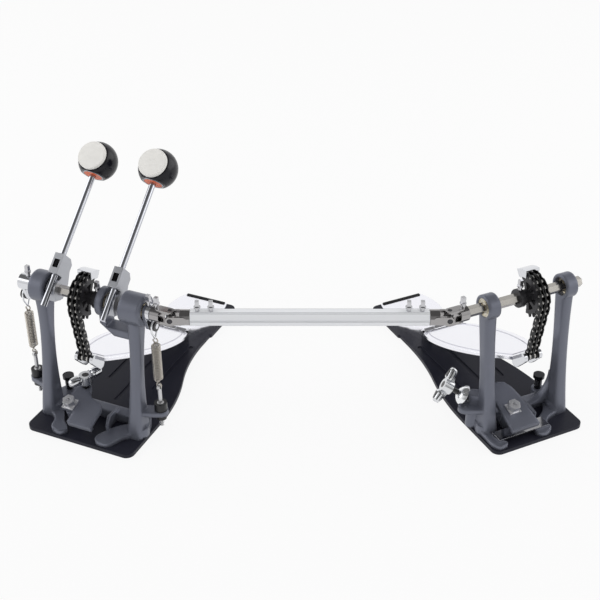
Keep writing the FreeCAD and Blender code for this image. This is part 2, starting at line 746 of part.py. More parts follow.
def bearing_starts(pedal):
    outer = -pedal.outer_face + FACE_INSET
    inner = pedal.inner_face - FACE_INSET - BEARING_WIDTH
    return outer, inner


def bearings(pedal):
    rings = [bearing(start, BEARING_WIDTH) for start in bearing_starts(pedal)]
    if pedal is PRIMARY:
        rings.append(bearing(RING_INNER_FACE - RING_LENGTH, RING_LENGTH))
    return Part.makeCompound(rings)


def axle(start, stop, journals):
    bar = hex_bar(HEX_FLATS, start, stop, AXLE_HEIGHT)
    rounds = [cylinder_u(JOURNAL_RADIUS, low, high, 0, AXLE_HEIGHT) for low, high in journals]
    return fuse([bar] + rounds)


def main_shaft():
    middle = RING_INNER_FACE - RING_LENGTH / 2 - SHAFT_GAP / 2
    start = -(PRIMARY_OUTER_FACE + SIDE_GAP + OUTER_COLLAR_LENGTH + FACE_INSET)
    outer = bearing_starts(PRIMARY)[0]
    journals = [(outer, outer + BEARING_WIDTH), (RING_INNER_FACE - RING_LENGTH, middle)]
    return axle(start, middle, journals)


def joint_shaft_end():
    return JOINT_REACH - YOKE_BRIDGE - FACE_INSET


def aux_shaft():
    middle = RING_INNER_FACE - RING_LENGTH / 2 + SHAFT_GAP / 2
    inner = bearing_starts(PRIMARY)[1]
    journals = [(middle, RING_INNER_FACE), (inner, inner + BEARING_WIDTH)]
    return axle(middle, joint_shaft_end(), journals)


def slave_shaft():
    outer, inner = bearing_starts(SLAVE)
    journals = [(outer, outer + BEARING_WIDTH), (inner, inner + BEARING_WIDTH)]
    return axle(-SLAVE_OUTER_FACE - SHAFT_STUB, joint_shaft_end(), journals)


def hex_bore(start, stop):
    return hex_bar(HEX_FLATS + 2 * SEAT_FIT, start - OVERRUN, stop + OVERRUN, AXLE_HEIGHT)


# Sprocket and chain


def rim_point(angle, radius):
    """A (v, z) point round the axle; zero is straight ahead and positive angles climb."""
    turn = math.radians(angle)
    return -radius * math.cos(turn), AXLE_HEIGHT + radius * math.sin(turn)


def wrap_pins():
    return [rim_point(LINK_STEP * index - CHAIN_LEAN, PITCH_RADIUS) for index in range(WRAP_LINKS + 1)]


def run_pin(count):
    """The chain pin that lies count pitches below the point where the chain leaves the sprocket."""
    lean = math.radians(CHAIN_LEAN)
    start = wrap_pins()[0]
    return (start[0] + count * CHAIN_PITCH * math.sin(lean),
            start[1] - count * CHAIN_PITCH * math.cos(lean))


def rim_sector(inner, outer, low, high, u0, u1):
    """A sector of a ring round the axle."""
    ring = cylinder_u(outer, u0, u1, 0, AXLE_HEIGHT).cut(
        cylinder_u(inner, u0 - OVERRUN, u1 + OVERRUN, 0, AXLE_HEIGHT))
    reach = 2 * outer
    mid = (low + high) / 2
    fan = [(0, AXLE_HEIGHT)] + [rim_point(angle, reach) for angle in (low, (low + mid) / 2, mid,
                                                                      (mid + high) / 2, high)]
    return ring.common(prism_u(fan, u0, u1))


def rim_radius():
    """The sprocket's rim, just under the straight lower edges of the link plates."""
    return PITCH_RADIUS * math.cos(math.radians(LINK_STEP / 2)) - LINK_HEIGHT / 2 - TOOTH_ROOT_GAP


def tooth(angle, u0, u1):
    root = rim_radius()
    foot_angle = math.degrees(TOOTH_BASE / root)
    tip_angle = math.degrees(TOOTH_TIP / PITCH_RADIUS)
    sunk = root - TOOTH_BASE
    outline = [rim_point(angle - foot_angle, sunk), rim_point(angle - foot_angle, root),
               rim_point(angle - tip_angle, PITCH_RADIUS), rim_point(angle + tip_angle, PITCH_RADIUS),
               rim_point(angle + foot_angle, root), rim_point(angle + foot_angle, sunk)]
    return prism_u(outline, u0, u1)


def sprocket(pedal):
    """A toothed sector on spokes, with two rows of teeth and a clamping hub on its inner side."""
    centre = pedal.chain
    root = rim_radius()
    hub_end = centre + RIM_WIDTH / 2 + 2 * COLLAR_LENGTH
    pieces = [rim_sector(root - RIM_DEPTH, root, SECTOR_LOW, SECTOR_HIGH,
                         centre - RIM_WIDTH / 2, centre + RIM_WIDTH / 2),
              cylinder_u(HUB_RADIUS, centre - RIM_WIDTH / 2, hub_end, 0, AXLE_HEIGHT),
              softened(cylinder_u(HUB_COLLAR, hub_end - COLLAR_LENGTH, hub_end, 0, AXLE_HEIGHT), FACE_INSET)]
    spread = SECTOR_HIGH - SECTOR_LOW
    for index in range(SPOKE_COUNT):
        inset = math.degrees(SPOKE_WIDTH / 2 / (root - RIM_DEPTH))
        angle = SECTOR_LOW + inset + (spread - 2 * inset) * index / (SPOKE_COUNT - 1)
        pieces.append(spoke(angle, root - RIM_DEPTH / 2, centre))
    first = SECTOR_LOW + LINK_STEP / 2
    angles = [LINK_STEP * (index - 0.5) - CHAIN_LEAN for index in range(-SPROCKET_TEETH, WRAP_LINKS + 1)]
    for angle in [value for value in angles if value > first]:
        for row in (-1, 1):
            middle = centre + row * STRAND_SPACING / 2
            pieces.append(tooth(angle, middle - TOOTH_WIDTH / 2, middle + TOOTH_WIDTH / 2))
    cuts = [hex_bore(centre - RIM_WIDTH / 2, hub_end), screw_hole(*sprocket_screw(pedal))]
    return fuse(pieces).cut(cuts)


def spoke(angle, reach, centre):
    tip = rim_point(angle, reach)
    return capsule_u((0, AXLE_HEIGHT), SPOKE_WIDTH / 2, tip, SPOKE_WIDTH / 2,
                     centre - SPOKE_THICK / 2, centre + SPOKE_THICK / 2)


def link_outline(first, second):
    """A link plate's outline between two pins, with faceted round ends."""
    heading = math.atan2(second[1] - first[1], second[0] - first[0])
    half_turn = ROUND_SIDES // 2
    points = []
    for centre, start in ((second, heading - math.pi / 2), (first, heading + math.pi / 2)):
        for index in range(half_turn + 1):
            angle = start + math.pi * index / half_turn
            points.append((centre[0] + LINK_HEIGHT / 2 * math.cos(angle),
                           centre[1] + LINK_HEIGHT / 2 * math.sin(angle)))
    return points


def faceted(centre, radius, u0, u1):
    points = [(centre[0] + v, centre[1] + z) for v, z in ring_points(radius, ROUND_SIDES)]
    return prism_u(points, u0, u1)


def strand_edges():
    """Half widths of the inner link: the free space for teeth, and the outside of its plates."""
    inside = STRAND_INNER_WIDTH / 2
    return inside, inside + PLATE_GAUGE


def inner_link(first, second, middle):
    """Two strands, each of two plates on two rollers, bored for the pins."""
    inside, outside = strand_edges()
    outline = link_outline(first, second)
    strands = []
    for row in (-1, 1):
        line = middle + row * STRAND_SPACING / 2
        plates = [prism_u(outline, line - outside, line - inside),
                  prism_u(outline, line + inside, line + outside)]
        rollers = [faceted(pin, ROLLER_RADIUS, line - inside, line + inside) for pin in (first, second)]
        bores = [faceted(pin, (PIN_RADIUS + RUN_FIT) / math.cos(math.pi / ROUND_SIDES),
                         line - outside - OVERRUN, line + outside + OVERRUN) for pin in (first, second)]
        strands.append(fuse(plates + rollers).cut(bores))
    return Part.makeCompound(strands)


def outer_plates():
    """Where the outer link's three plates lie across the chain, as pairs of offsets."""
    outside = strand_edges()[1] + LINK_PLAY
    far = STRAND_SPACING / 2 + outside
    near = STRAND_SPACING / 2 - outside
    return (-far - PLATE_GAUGE, -far), (-near, near), (far, far + PLATE_GAUGE)


def outer_link(first, second, middle):
    """Three plates riveted on two pins that reach right across the chain."""
    outline = link_outline(first, second)
    plates = outer_plates()
    pieces = [prism_u(outline, middle + low, middle + high) for low, high in plates]
    end = plates[-1][1] + PIN_HEAD
    pieces += [faceted(pin, PIN_RADIUS, middle - end, middle + end) for pin in (first, second)]
    return fuse(pieces)


def link(index, first, second, middle):
    return (outer_link if index % 2 == 0 else inner_link)(first, second, middle)


def wrap_link(pedal, index):
    """The link between wrap pins index and index + 1, counted up from where the chain leaves."""
    pins = wrap_pins()
    return link(index + 1, pins[index], pins[index + 1], pedal.chain)


def chain_end_link(pedal):
    """The last link: two plates whose large eyes hang on the footboard's pin."""
    top, eye = run_pin(RUN_LINKS), run_pin(RUN_LINKS + 1)
    plates = outer_plates()
    pieces = []
    for low, high in (plates[0], plates[2]):
        pieces.append(capsule_u(top, LINK_HEIGHT / 2, eye, CHAIN_EYE_RADIUS, pedal.chain + low,
                                pedal.chain + high))
    low, high = plates[1]
    pieces.append(prism_u(link_outline(top, top_neighbour(top, eye)), pedal.chain + low, pedal.chain + high))
    end = plates[-1][1] + PIN_HEAD
    pieces.append(faceted(top, PIN_RADIUS, pedal.chain - end, pedal.chain + end))
    spacer = cylinder_u(CHAIN_EYE_SLEEVE, pedal.chain + plates[0][0], pedal.chain + plates[2][1], *eye)
    bore = cylinder_u(CHAIN_EYE_BORE, pedal.chain - end - OVERRUN, pedal.chain + end + OVERRUN, *eye)
    return fuse(pieces + [spacer]).cut(bore)


def top_neighbour(top, eye):
    """A short plate's far end, part of the way from one pin to the next."""
    return tuple(near + STUB_PLATE_SHARE * (far - near) for near, far in zip(top, eye))


def chain_run(pedal):
    links = [link(index, run_pin(index), run_pin(index + 1), pedal.chain) for index in range(RUN_LINKS)]
    return Part.makeCompound(links + [chain_end_link(pedal)])


def sprocket_with_chain(pedal):
    """The sprocket and the chain links that stay wrapped on it."""
    wrapped = [wrap_link(pedal, index) for index in range(2, WRAP_LINKS)]
    return Part.makeCompound([sprocket(pedal)] + wrapped)


def chain_clip(pedal):
    """The bright clip that holds the chain's end on top of the sprocket."""
    low_radius = PITCH_RADIUS + LINK_HEIGHT / 2 + SIDE_GAP
    top = low_radius + CLIP_THICK
    half = outer_plates()[-1][1] + PIN_HEAD + SIDE_GAP
    last = LINK_STEP * WRAP_LINKS - CHAIN_LEAN
    rear = SECTOR_HIGH
    front = rear - CLIP_SPAN
    pieces = [rim_sector(low_radius, top, front, rear, pedal.chain - half, pedal.chain + half)]
    for low, high in ((-half - CLIP_CHEEK, -half), (half, half + CLIP_CHEEK)):
        pieces.append(rim_sector(PITCH_RADIUS - ROLLER_RADIUS, top, front, rear, pedal.chain + low,
                                 pedal.chain + high))
    pieces.append(rim_sector(rim_radius() + SEAT_FIT, top, rear - CLIP_FOOT, rear, pedal.chain - half,
                             pedal.chain + half))
    room = cylinder_u(LINK_HEIGHT / 2 + SIDE_GAP, pedal.chain - half, pedal.chain + half,
                      *rim_point(last, PITCH_RADIUS))
    return fuse(pieces).cut(room)


# Beaters


def beater_point(along, across):
    """A (v, z) point measured along the beater rod and across it, towards the heel."""
    tilt = math.radians(BEATER_TILT)
    return (along * math.sin(tilt) + across * math.cos(tilt),
            AXLE_HEIGHT + along * math.cos(tilt) - across * math.sin(tilt))


def rod_direction():
    tilt = math.radians(BEATER_TILT)
    return vec(0, math.sin(tilt), math.cos(tilt))


def strike_direction():
    tilt = math.radians(BEATER_TILT)
    return vec(0, -math.cos(tilt), math.sin(tilt))


def strike_turn():
    return FreeCAD.Rotation(AXIS_Z, strike_direction())


def rod_cylinder(radius, place, low, high):
    v, z = beater_point(low, -BEATER_OFFSET)
    return Part.makeCylinder(radius, high - low, vec(place, v, z), rod_direction())


def beater_hub(place):
    """A clamp that grips the shaft, with a through hole for the rod in front of it."""
    low, high = place - HUB_WIDTH / 2, place + HUB_WIDTH / 2
    grip = [(along * HUB_LENGTH, hub_front()) for along in GRIP_SHARES]
    back = [(along * HUB_LENGTH, across * HUB_DEPTH) for along, across in HUB_PROFILE_SHARES]
    outline = [beater_point(along, across) for along, across in grip + back]
    body = fuse([prism_u(outline, low, high), cylinder_u(HUB_BOSS, low, high, 0, AXLE_HEIGHT)])
    hole = rod_cylinder(BEATER_ROD_RADIUS + RUN_FIT, place, -HUB_LENGTH, HUB_LENGTH)
    return body.cut([hole, hex_bore(low, high), hub_pocket(place), screw_hole(*hub_screw(place))])


def hub_front():
    """How far the hub's front face lies across the rod from the shaft."""
    return -(BEATER_OFFSET + BEATER_ROD_RADIUS + GRIP_WALL)


def hub_pocket(place):
    """The sunk rectangle in the hub's front face, where the screw that grips the rod sits."""
    floor = hub_screw(place)[0]
    corner = vec(-POCKET_WIDTH / 2, -POCKET_LENGTH / 2, 0)
    pocket = Part.makeBox(POCKET_WIDTH, POCKET_LENGTH, POCKET_DEPTH + OVERRUN, corner)
    pocket.Placement = FreeCAD.Placement(floor, strike_turn()).multiply(pocket.Placement)
    return pocket


def beater_rod(place, reach):
    return rod_cylinder(BEATER_ROD_RADIUS, place, -BEATER_TAIL, reach - HEAD_FLAT_DEPTH)


def head_centre(place, reach):
    v, z = beater_point(reach, -BEATER_OFFSET)
    return vec(place, v, z)


def beater_head(place, reach):
    """A ball cut flat where the felt seats and where the rod enters."""
    centre = head_centre(place, reach)
    ball = Part.makeSphere(HEAD_RADIUS, centre)
    front = Part.makeCylinder(2 * HEAD_RADIUS, HEAD_RADIUS, centre + strike_direction() * STRIKE_DEPTH,
                              strike_direction())
    below = Part.makeCylinder(2 * HEAD_RADIUS, HEAD_RADIUS, centre - rod_direction() * HEAD_FLAT_DEPTH,
                              rod_direction() * -1)
    return ball.cut([front, below])


def beater_felt(place, reach):
    start = head_centre(place, reach) + strike_direction() * STRIKE_DEPTH
    disc = Part.makeCylinder(FELT_RADIUS, FELT_THICK, start, strike_direction())
    rims = [edge for edge in disc.Edges if edge.isClosed()]
    front = max(rims, key=lambda edge: edge.CenterOfMass.dot(strike_direction()))
    return disc.makeFillet(FELT_EDGE, [front])


# Key screws


def key_screw(seat, direction, sunk):
    """A square-headed screw whose flange stands on seat, its shank sunk into the piece below."""
    neck = Part.makeCylinder(KEY_SCREW_RADIUS, KEY_NECK_HEIGHT + sunk, seat - direction * sunk, direction)
    shoulder = seat + direction * KEY_NECK_HEIGHT
    flange = Part.makeCylinder(KEY_SCREW_FLANGE, KEY_FLANGE_HEIGHT, shoulder, direction)
    head = square_head(shoulder + direction * KEY_FLANGE_HEIGHT, direction, KEY_HEAD_HEIGHT)
    return fuse([neck, flange, head])


def square_head(seat, direction, height):
    side = KEY_SCREW_HEAD / 2
    head = Part.makeBox(KEY_SCREW_HEAD, KEY_SCREW_HEAD, height, vec(-side, -side, 0))
    head.Placement = FreeCAD.Placement(seat, FreeCAD.Rotation(AXIS_Z, direction)).multiply(head.Placement)
    return head


def sunk_screw(seat, direction, sunk):
    """A square-headed screw that lies below the face of its pocket."""
    shank = Part.makeCylinder(KEY_SCREW_RADIUS, sunk, seat - direction * sunk, direction)
    return fuse([shank, square_head(seat, direction, SUNK_HEAD_HEIGHT)])


def screw_hole(seat, direction, sunk):
    return Part.makeCylinder(KEY_SCREW_RADIUS + SEAT_FIT, sunk + OVERRUN + KEY_NECK_HEIGHT,
                             seat - direction * sunk, direction)


def collar_screw(middle, radius):
    """Seat and depth of a key screw standing on top of a round collar."""
    sunk = radius - HEX_CORNER - FACE_INSET
    return vec(middle, 0, AXLE_HEIGHT + radius), AXIS_Z, sunk


def hub_screw(place):
    """Seat and depth of the screw that grips the beater rod from the hub's front pocket."""
    v, z = beater_point(sum(GRIP_SHARES) / 2 * HUB_LENGTH, hub_front() + POCKET_DEPTH)
    return vec(place, v, z), strike_direction(), GRIP_WALL - POCKET_DEPTH - FACE_INSET


def rocker_screw(side):
    low, high = rocker_collar(side)
    return collar_screw((low + high) / 2, ROCKER_COLLAR)


def sprocket_screw(pedal):
    return collar_screw(pedal.chain + RIM_WIDTH / 2 + COLLAR_LENGTH * 3 / 2, HUB_COLLAR)


def yoke_screw():
    return collar_screw((yoke_hub_start() + joint_shaft_end()) / 2, YOKE_RADIUS)


# Rockers, stirrups, springs and tension rods


def rocker_collar(side):
    if side < 0:
        face = -(PRIMARY_OUTER_FACE + SIDE_GAP)
        return face - OUTER_COLLAR_LENGTH, face
    face = PRIMARY_INNER_FACE + SIDE_GAP
    return face, face + INNER_COLLAR_LENGTH


def rocker_arm(side):
    """The arm's faces and the outer end of its pin."""
    if side < 0:
        face = -(PRIMARY_OUTER_FACE + SIDE_GAP + OUTER_ARM_OFFSET)
        return face - ROCKER_THICK, face, face - ROCKER_THICK - ROCKER_PIN_LENGTH
    face = PRIMARY_INNER_FACE + SIDE_GAP
    return face, face + ROCKER_THICK, face + ROCKER_THICK + ROCKER_PIN_LENGTH


def rocker(side):
    """A lever clamped on the shaft, with the pin that pulls the spring."""
    low, high = rocker_collar(side)
    arm_low, arm_high, pin_end = rocker_arm(side)
    pin = (PRIMARY_PIN_V, PRIMARY_PIN_Z)
    collar = cylinder_u(ROCKER_COLLAR, low, high, 0, AXLE_HEIGHT)
    arm = capsule_u((0, AXLE_HEIGHT), ROCKER_COLLAR, pin, ROCKER_EYE, arm_low, arm_high)
    stub = cylinder_u(ROCKER_PIN, min(arm_low, pin_end), max(arm_high, pin_end), *pin)
    seat = rocker_screw(side)
    return fuse([collar, arm, stub]).cut([hex_bore(low, high), screw_hole(*seat)])


def swept(edges, radius):
    """A round wire along tangent lines and arcs."""
    path = Part.Wire(edges)
    start = edges[0].firstVertex().Point
    heading = edges[0].tangentAt(edges[0].FirstParameter)
    section = Part.Wire(Part.makeCircle(radius, start, heading))
    return path.makePipeShell([section], True, False)


def stirrup(place):
    """A wire loop over a bush on the rocker's pin, its legs meeting at the spring."""
    pin = vec(place, PRIMARY_PIN_V, PRIMARY_PIN_Z)
    half = BUSH_WIDTH / 2
    bush = cylinder_u(BUSH_RADIUS, place - half, place + half, pin.y, pin.z).cut(
        cylinder_u(ROCKER_PIN + RUN_FIT, place - half - OVERRUN, place + half + OVERRUN, pin.y, pin.z))
    groove = Part.makeTorus(BUSH_RADIUS + SEAT_FIT, STIRRUP_GROOVE, pin, AXIS_U)
    reach = BUSH_RADIUS + SEAT_FIT
    low = pin - AXIS_Z * STIRRUP_DROP
    legs = []
    for across in (-1, 1):
        shoulder = pin + AXIS_V * (across * reach)
        knee = shoulder - AXIS_Z * reach
        legs.append((shoulder, knee))
    (left, left_knee), (right, right_knee) = legs
    over = Part.Arc(left, pin + AXIS_Z * reach, right).toShape()
    loop = swept([Part.LineSegment(left_knee, left).toShape(), over,
                  Part.LineSegment(right, right_knee).toShape()], STIRRUP_WIRE)
    tails = []
    for knee in (left_knee, right_knee):
        tail = low - knee
        tails.append(Part.makeCylinder(STIRRUP_WIRE, tail.Length, knee, tail))
        tails.append(Part.makeSphere(STIRRUP_WIRE, knee))
    tails.append(Part.makeSphere(STIRRUP_WIRE * math.sqrt(2), low))
    wire = fuse([loop] + tails)
    flat = block(place - half, place + half, pin.y - half, pin.y + half, low.z - half,
                 low.z - STIRRUP_WIRE / 2)
    return Part.makeCompound([bush.cut(groove), wire.cut(flat)])


def biarc(start, start_heading, stop, stop_heading):
    """Two tangent arcs from one point and heading to another."""
    chord = stop - start
    both = start_heading + stop_heading
    along = chord.dot(both)
    spread = 2 * (1 - start_heading.dot(stop_heading))
    if abs(spread) < 1e-9:
        arm = chord.dot(chord) / (4 * chord.dot(stop_heading))
    else:
        arm = (math.sqrt(along * along + spread * chord.dot(chord)) - along) / spread
    knee = (start + start_heading * arm + stop - stop_heading * arm) / 2
    first = tangent_arc(start, start_heading, knee)
    second = tangent_arc(stop, stop_heading * -1, knee)
    return [Part.Arc(*first).toShape(), Part.Arc(*reversed(second)).toShape()], [first, second]


def tangent_arc(start, heading, stop):
    """Three points of the arc that leaves start along heading and ends at stop."""
    chord = stop - start
    across = chord - heading * chord.dot(heading)
    offset = across.Length
    away = across * (1 / offset)
    radius = chord.dot(chord) / (2 * offset)
    centre = start + away * radius
    middle = (start + stop) / 2 - centre
    if chord.dot(heading) < 0:
        middle = middle * -1
    return start, centre + middle * (radius / middle.Length), stop


def spring_stations(place):
    """Points and headings every quarter turn, from the straight top end to the straight foot."""
    stations = []
    axis = vec(place, PRIMARY_PIN_V, 0)
    lead = SPRING_LEAD * SPRING_RADIUS
    coil_top = SPRING_TOP - 2 * SPRING_WIRE - lead
    slope = SPRING_PITCH / (2 * math.pi * SPRING_RADIUS)
    for index in range(4 * SPRING_TURNS + 1):
        angle = math.pi / 2 * index
        round_point = vec(math.cos(angle), math.sin(angle), 0)
        heading = vec(-math.sin(angle), math.cos(angle), -slope)
        height = coil_top - SPRING_PITCH * index / 4
        stations.append((axis + round_point * SPRING_RADIUS + AXIS_Z * height, heading.normalize()))
    top = (axis + AXIS_Z * (coil_top + lead), AXIS_Z * -1)
    foot_height = coil_top - SPRING_PITCH * SPRING_TURNS - lead
    return [top] + stations + [(axis + AXIS_Z * foot_height, AXIS_Z * -1)]


def spring(place):
    """A close-wound extension spring drawn in to a straight end above and below."""
    stations = spring_stations(place)
    edges = [Part.LineSegment(stations[0][0] + AXIS_Z * (2 * SPRING_WIRE), stations[0][0]).toShape()]
    samples = [stations[0][0]]
    for (start, heading), (stop, stop_heading) in zip(stations, stations[1:]):
        arcs, points = biarc(start, heading, stop, stop_heading)
        edges += arcs
        samples += [points[0][1], points[0][2], points[1][1], stop]
    tail = stations[-1][0]
    edges.append(Part.LineSegment(tail, tail - AXIS_Z * (2 * SPRING_WIRE)).toShape())
    print("spring least gap to itself, mm:", round(least_gap(samples), 3))
    return swept(edges, SPRING_WIRE)


def least_gap(samples):
    """The smallest space between stretches of the wire that are over half a turn apart."""
    gaps = [(one - two).Length for index, one in enumerate(samples)
            for two in samples[index + HALF_TURN_SAMPLES:]]
    return min(gaps) - 2 * SPRING_WIRE


def tension_rod(place):
    """A screw hooked to the spring's foot and hung in the frame's ear by two knurled nuts."""
    eye_height = SPRING_FOOT - SIDE_GAP - TENSION_EYE
    line = (place, PRIMARY_PIN_V)
    shank = cylinder_z(TENSION_ROD, TENSION_TAIL, eye_height, *line)
    eye = cylinder_u(TENSION_EYE, place - TENSION_EYE_THICK / 2, place + TENSION_EYE_THICK / 2,
                     PRIMARY_PIN_V, eye_height)
    pin_hole = cylinder_u(SPRING_WIRE * 2, place - TENSION_EYE_THICK, place + TENSION_EYE_THICK,
                          PRIMARY_PIN_V, eye_height)
    return fuse([shank, eye]).cut(pin_hole)


def knurled_nut(place, radius, start, height):
    points = [(place + u, PRIMARY_PIN_V + v) for u, v in ring_points(radius, NUT_FACETS)]
    bore = cylinder_z(TENSION_ROD + SEAT_FIT, start - OVERRUN, start + height + OVERRUN, place, PRIMARY_PIN_V)
    return prism_z(points, start, start + height).cut(bore)


def tensioners():
    pieces = []
    for place in (OUTER_SPRING, INNER_SPRING):
        pieces.append(tension_rod(place))
        pieces.append(knurled_nut(place, NUT_RADIUS, EAR_HEIGHT + EAR_THICK, NUT_HEIGHT))
        pieces.append(knurled_nut(place, LOCKNUT_RADIUS, EAR_HEIGHT - LOCKNUT_HEIGHT, LOCKNUT_HEIGHT))
    return Part.makeCompound(pieces)


# Drive shaft


def yoke_hub_start():
    return PRIMARY_INNER_FACE + 2 * SIDE_GAP + INNER_COLLAR_LENGTH


def fork(reach, play):
    """Two ears above and below a joint centre at the origin, reaching back to a bridge."""
    pieces = []
    for side in (-1, 1):
        inner, outer = side * YOKE_EAR_INNER, side * (YOKE_EAR_INNER + YOKE_EAR_THICK)
        low, high = min(inner, outer), max(inner, outer)
        pieces.append(capsule_z((0, 0), YOKE_EAR_WIDTH / 2, (-reach, 0), YOKE_EAR_WIDTH / 2, low, high))
    hole = cylinder_z(CROSS_RADIUS + play, -YOKE_RADIUS - OVERRUN, YOKE_RADIUS + OVERRUN)
    return pieces, hole


def hub_yoke(start):
    """A hub clamped on a pedal's shaft, its fork standing upright."""
    reach = YOKE_BRIDGE + YOKE_EAR_WIDTH / 4
    ears, hole = fork(reach, RUN_FIT)
    joint = vec(JOINT_REACH, 0, AXLE_HEIGHT)
    for shape in ears + [hole]:
        shape.translate(joint)
    hub = cylinder_u(YOKE_RADIUS, start, JOINT_REACH - YOKE_BRIDGE, 0, AXLE_HEIGHT)
    bore = hex_bar(HEX_FLATS + 2 * SEAT_FIT, start - OVERRUN, joint_shaft_end() + SEAT_FIT, AXLE_HEIGHT)
    return fuse([hub] + ears).cut([hole, bore, screw_hole(*yoke_screw())])


def cross():
    """The spider at a joint centre: a core and two crossing pins, upright and level."""
    reach = YOKE_EAR_INNER + YOKE_EAR_THICK
    half = CROSS_CORE / 2
    core = softened(cylinder_z(half, -half, half), FACE_INSET)
    upright = cylinder_z(CROSS_RADIUS, -reach, reach)
    level = Part.makeCylinder(CROSS_RADIUS, 2 * reach, vec(0, -reach, 0), AXIS_V)
    return fuse([core, upright, level])


def rod_yoke(length):
    """A fork lying level on the end of the round rod that enters the drive tube, along +X."""
    ears, hole = fork(YOKE_BRIDGE + YOKE_EAR_WIDTH / 4, CROSS_PLAY)
    neck = TUBE_GAP - SIDE_GAP
    rod = cylinder_u(ROD_RADIUS, YOKE_BRIDGE, TUBE_GAP + length)
    hub = cylinder_u(YOKE_RADIUS, YOKE_BRIDGE, neck)
    turned = []
    for shape in ears + [hole]:
        shape.rotate(ORIGIN, AXIS_Z, 180)
        shape.rotate(ORIGIN, AXIS_U, 90)
        turned.append(shape)
    return fuse([hub, rod] + turned[:-1]).cut(turned[-1])


def drive_tube():
    """An extruded six-sided tube with a fine groove along each edge."""
    length = JOINT_SPAN - 2 * TUBE_GAP
    corner = TUBE_FLATS / math.sqrt(3)
    body = prism_u(ring_points(corner, 6), -length / 2, length / 2)
    cuts = [cylinder_u(TUBE_BORE, -length / 2 - OVERRUN, length / 2 + OVERRUN)]
    for v, z in ring_points(corner, 6):
        cuts.append(cylinder_u(TUBE_GROOVE, -length / 2 - OVERRUN, length / 2 + OVERRUN, v, z))
    for seat, direction, sunk in tube_screws():
        cuts.append(screw_hole(seat, direction, sunk))
    tube = body.cut(cuts)
    tube.translate(AXIS_Z * AXLE_HEIGHT)
    return tube


def tube_screws():
    """Seats of the key screws that grip the two rods, in the tube's own frame."""
    end = JOINT_SPAN / 2 - TUBE_GAP
    depth = TUBE_FLATS / 2 - ROD_RADIUS - FACE_INSET
    places = [side * (end - TUBE_SCREW_INSET - step) for side in (-1, 1) for step in (0, TUBE_SCREW_STEP)]
    return [(vec(place, 0, TUBE_FLATS / 2), AXIS_Z, depth) for place in places]


def joint_centre(side):
    return vec(side * JOINT_SPAN / 2, 0, AXLE_HEIGHT)


def rod_yoke_placed(side, length):
    yoke = rod_yoke(length)
    if side > 0:
        yoke.rotate(ORIGIN, AXIS_Z, 180)
    yoke.translate(joint_centre(side))
    return yoke


def cross_placed(side):
    spider = cross()
    spider.translate(joint_centre(side))
    return spider


# Footboard and heel plate


def board_slope():
    v, z = run_pin(RUN_LINKS + 1)
    return math.degrees(math.atan2(z - HINGE_HEIGHT, HINGE_BACK - v))


def board_placed(shape):
    """Carry a footboard piece from flat, hinge at the origin and toe along +V, to its slope."""
    moved = shape.copy()
    moved.rotate(ORIGIN, AXIS_Z, 180)
    moved.rotate(ORIGIN, AXIS_U, -board_slope())
    moved.translate(vec(0, HINGE_BACK, HINGE_HEIGHT))
    return moved


def footboard():
    """A leaf-shaped treadle with two hinge barrels at its heel."""
    plate = leaf_face(BOARD_SHARES, BOARD_REACH, BOARD_WIDTH).extrude(AXIS_Z * BOARD_THICK)
    plate.translate(AXIS_Z * (-BOARD_THICK / 2))
    inner = KNUCKLE_SHARE * HINGE_WIDTH / 2
    edge = HINGE_WIDTH / 2
    barrels = [cylinder_u(HINGE_RADIUS, -edge, -inner - SIDE_GAP),
               cylinder_u(HINGE_RADIUS, inner + SIDE_GAP, edge)]
    gap = HINGE_RADIUS + SIDE_GAP
    room = cylinder_u(gap, -inner - SIDE_GAP, inner + SIDE_GAP)
    bore = cylinder_u(HINGE_PIN_RADIUS + RUN_FIT, -edge - OVERRUN, edge + OVERRUN)
    board = fuse([plate.cut(room)] + barrels).cut(bore)
    return board_placed(board)


def toe_clevis(pedal):
    """Two ears on the toe and the pin that holds the chain's last link."""
    v, z = run_pin(RUN_LINKS + 1)
    reach = math.hypot(HINGE_BACK - v, z - HINGE_HEIGHT)
    half = outer_plates()[-1][1] + PIN_HEAD + CLEVIS_GAP
    pieces = []
    for low, high in ((-half - CLEVIS_THICK, -half), (half, half + CLEVIS_THICK)):
        ear = capsule_u((reach, 0), CLEVIS_EYE, (BOARD_REACH - CLEVIS_EYE, -CLEVIS_EYE - BOARD_THICK / 2),
                        CLEVIS_EYE, -pedal.chain + low, -pedal.chain + high)
        pieces.append(ear)
    pieces.append(block(-pedal.chain - half - CLEVIS_THICK, -pedal.chain + half + CLEVIS_THICK,
                        BOARD_REACH - 4 * CLEVIS_EYE, BOARD_REACH - CLEVIS_EYE,
                        -BOARD_THICK / 2 - CLEVIS_THICK, -BOARD_THICK / 2))
    pieces.append(cylinder_u(CLEVIS_PIN, -pedal.chain - half - CLEVIS_THICK,
                             -pedal.chain + half + CLEVIS_THICK, reach, 0))
    slab = block(-BOARD_WIDTH, BOARD_WIDTH, 0, BOARD_REACH, -BOARD_THICK / 2, BOARD_THICK)
    return board_placed(fuse(pieces).cut(slab))


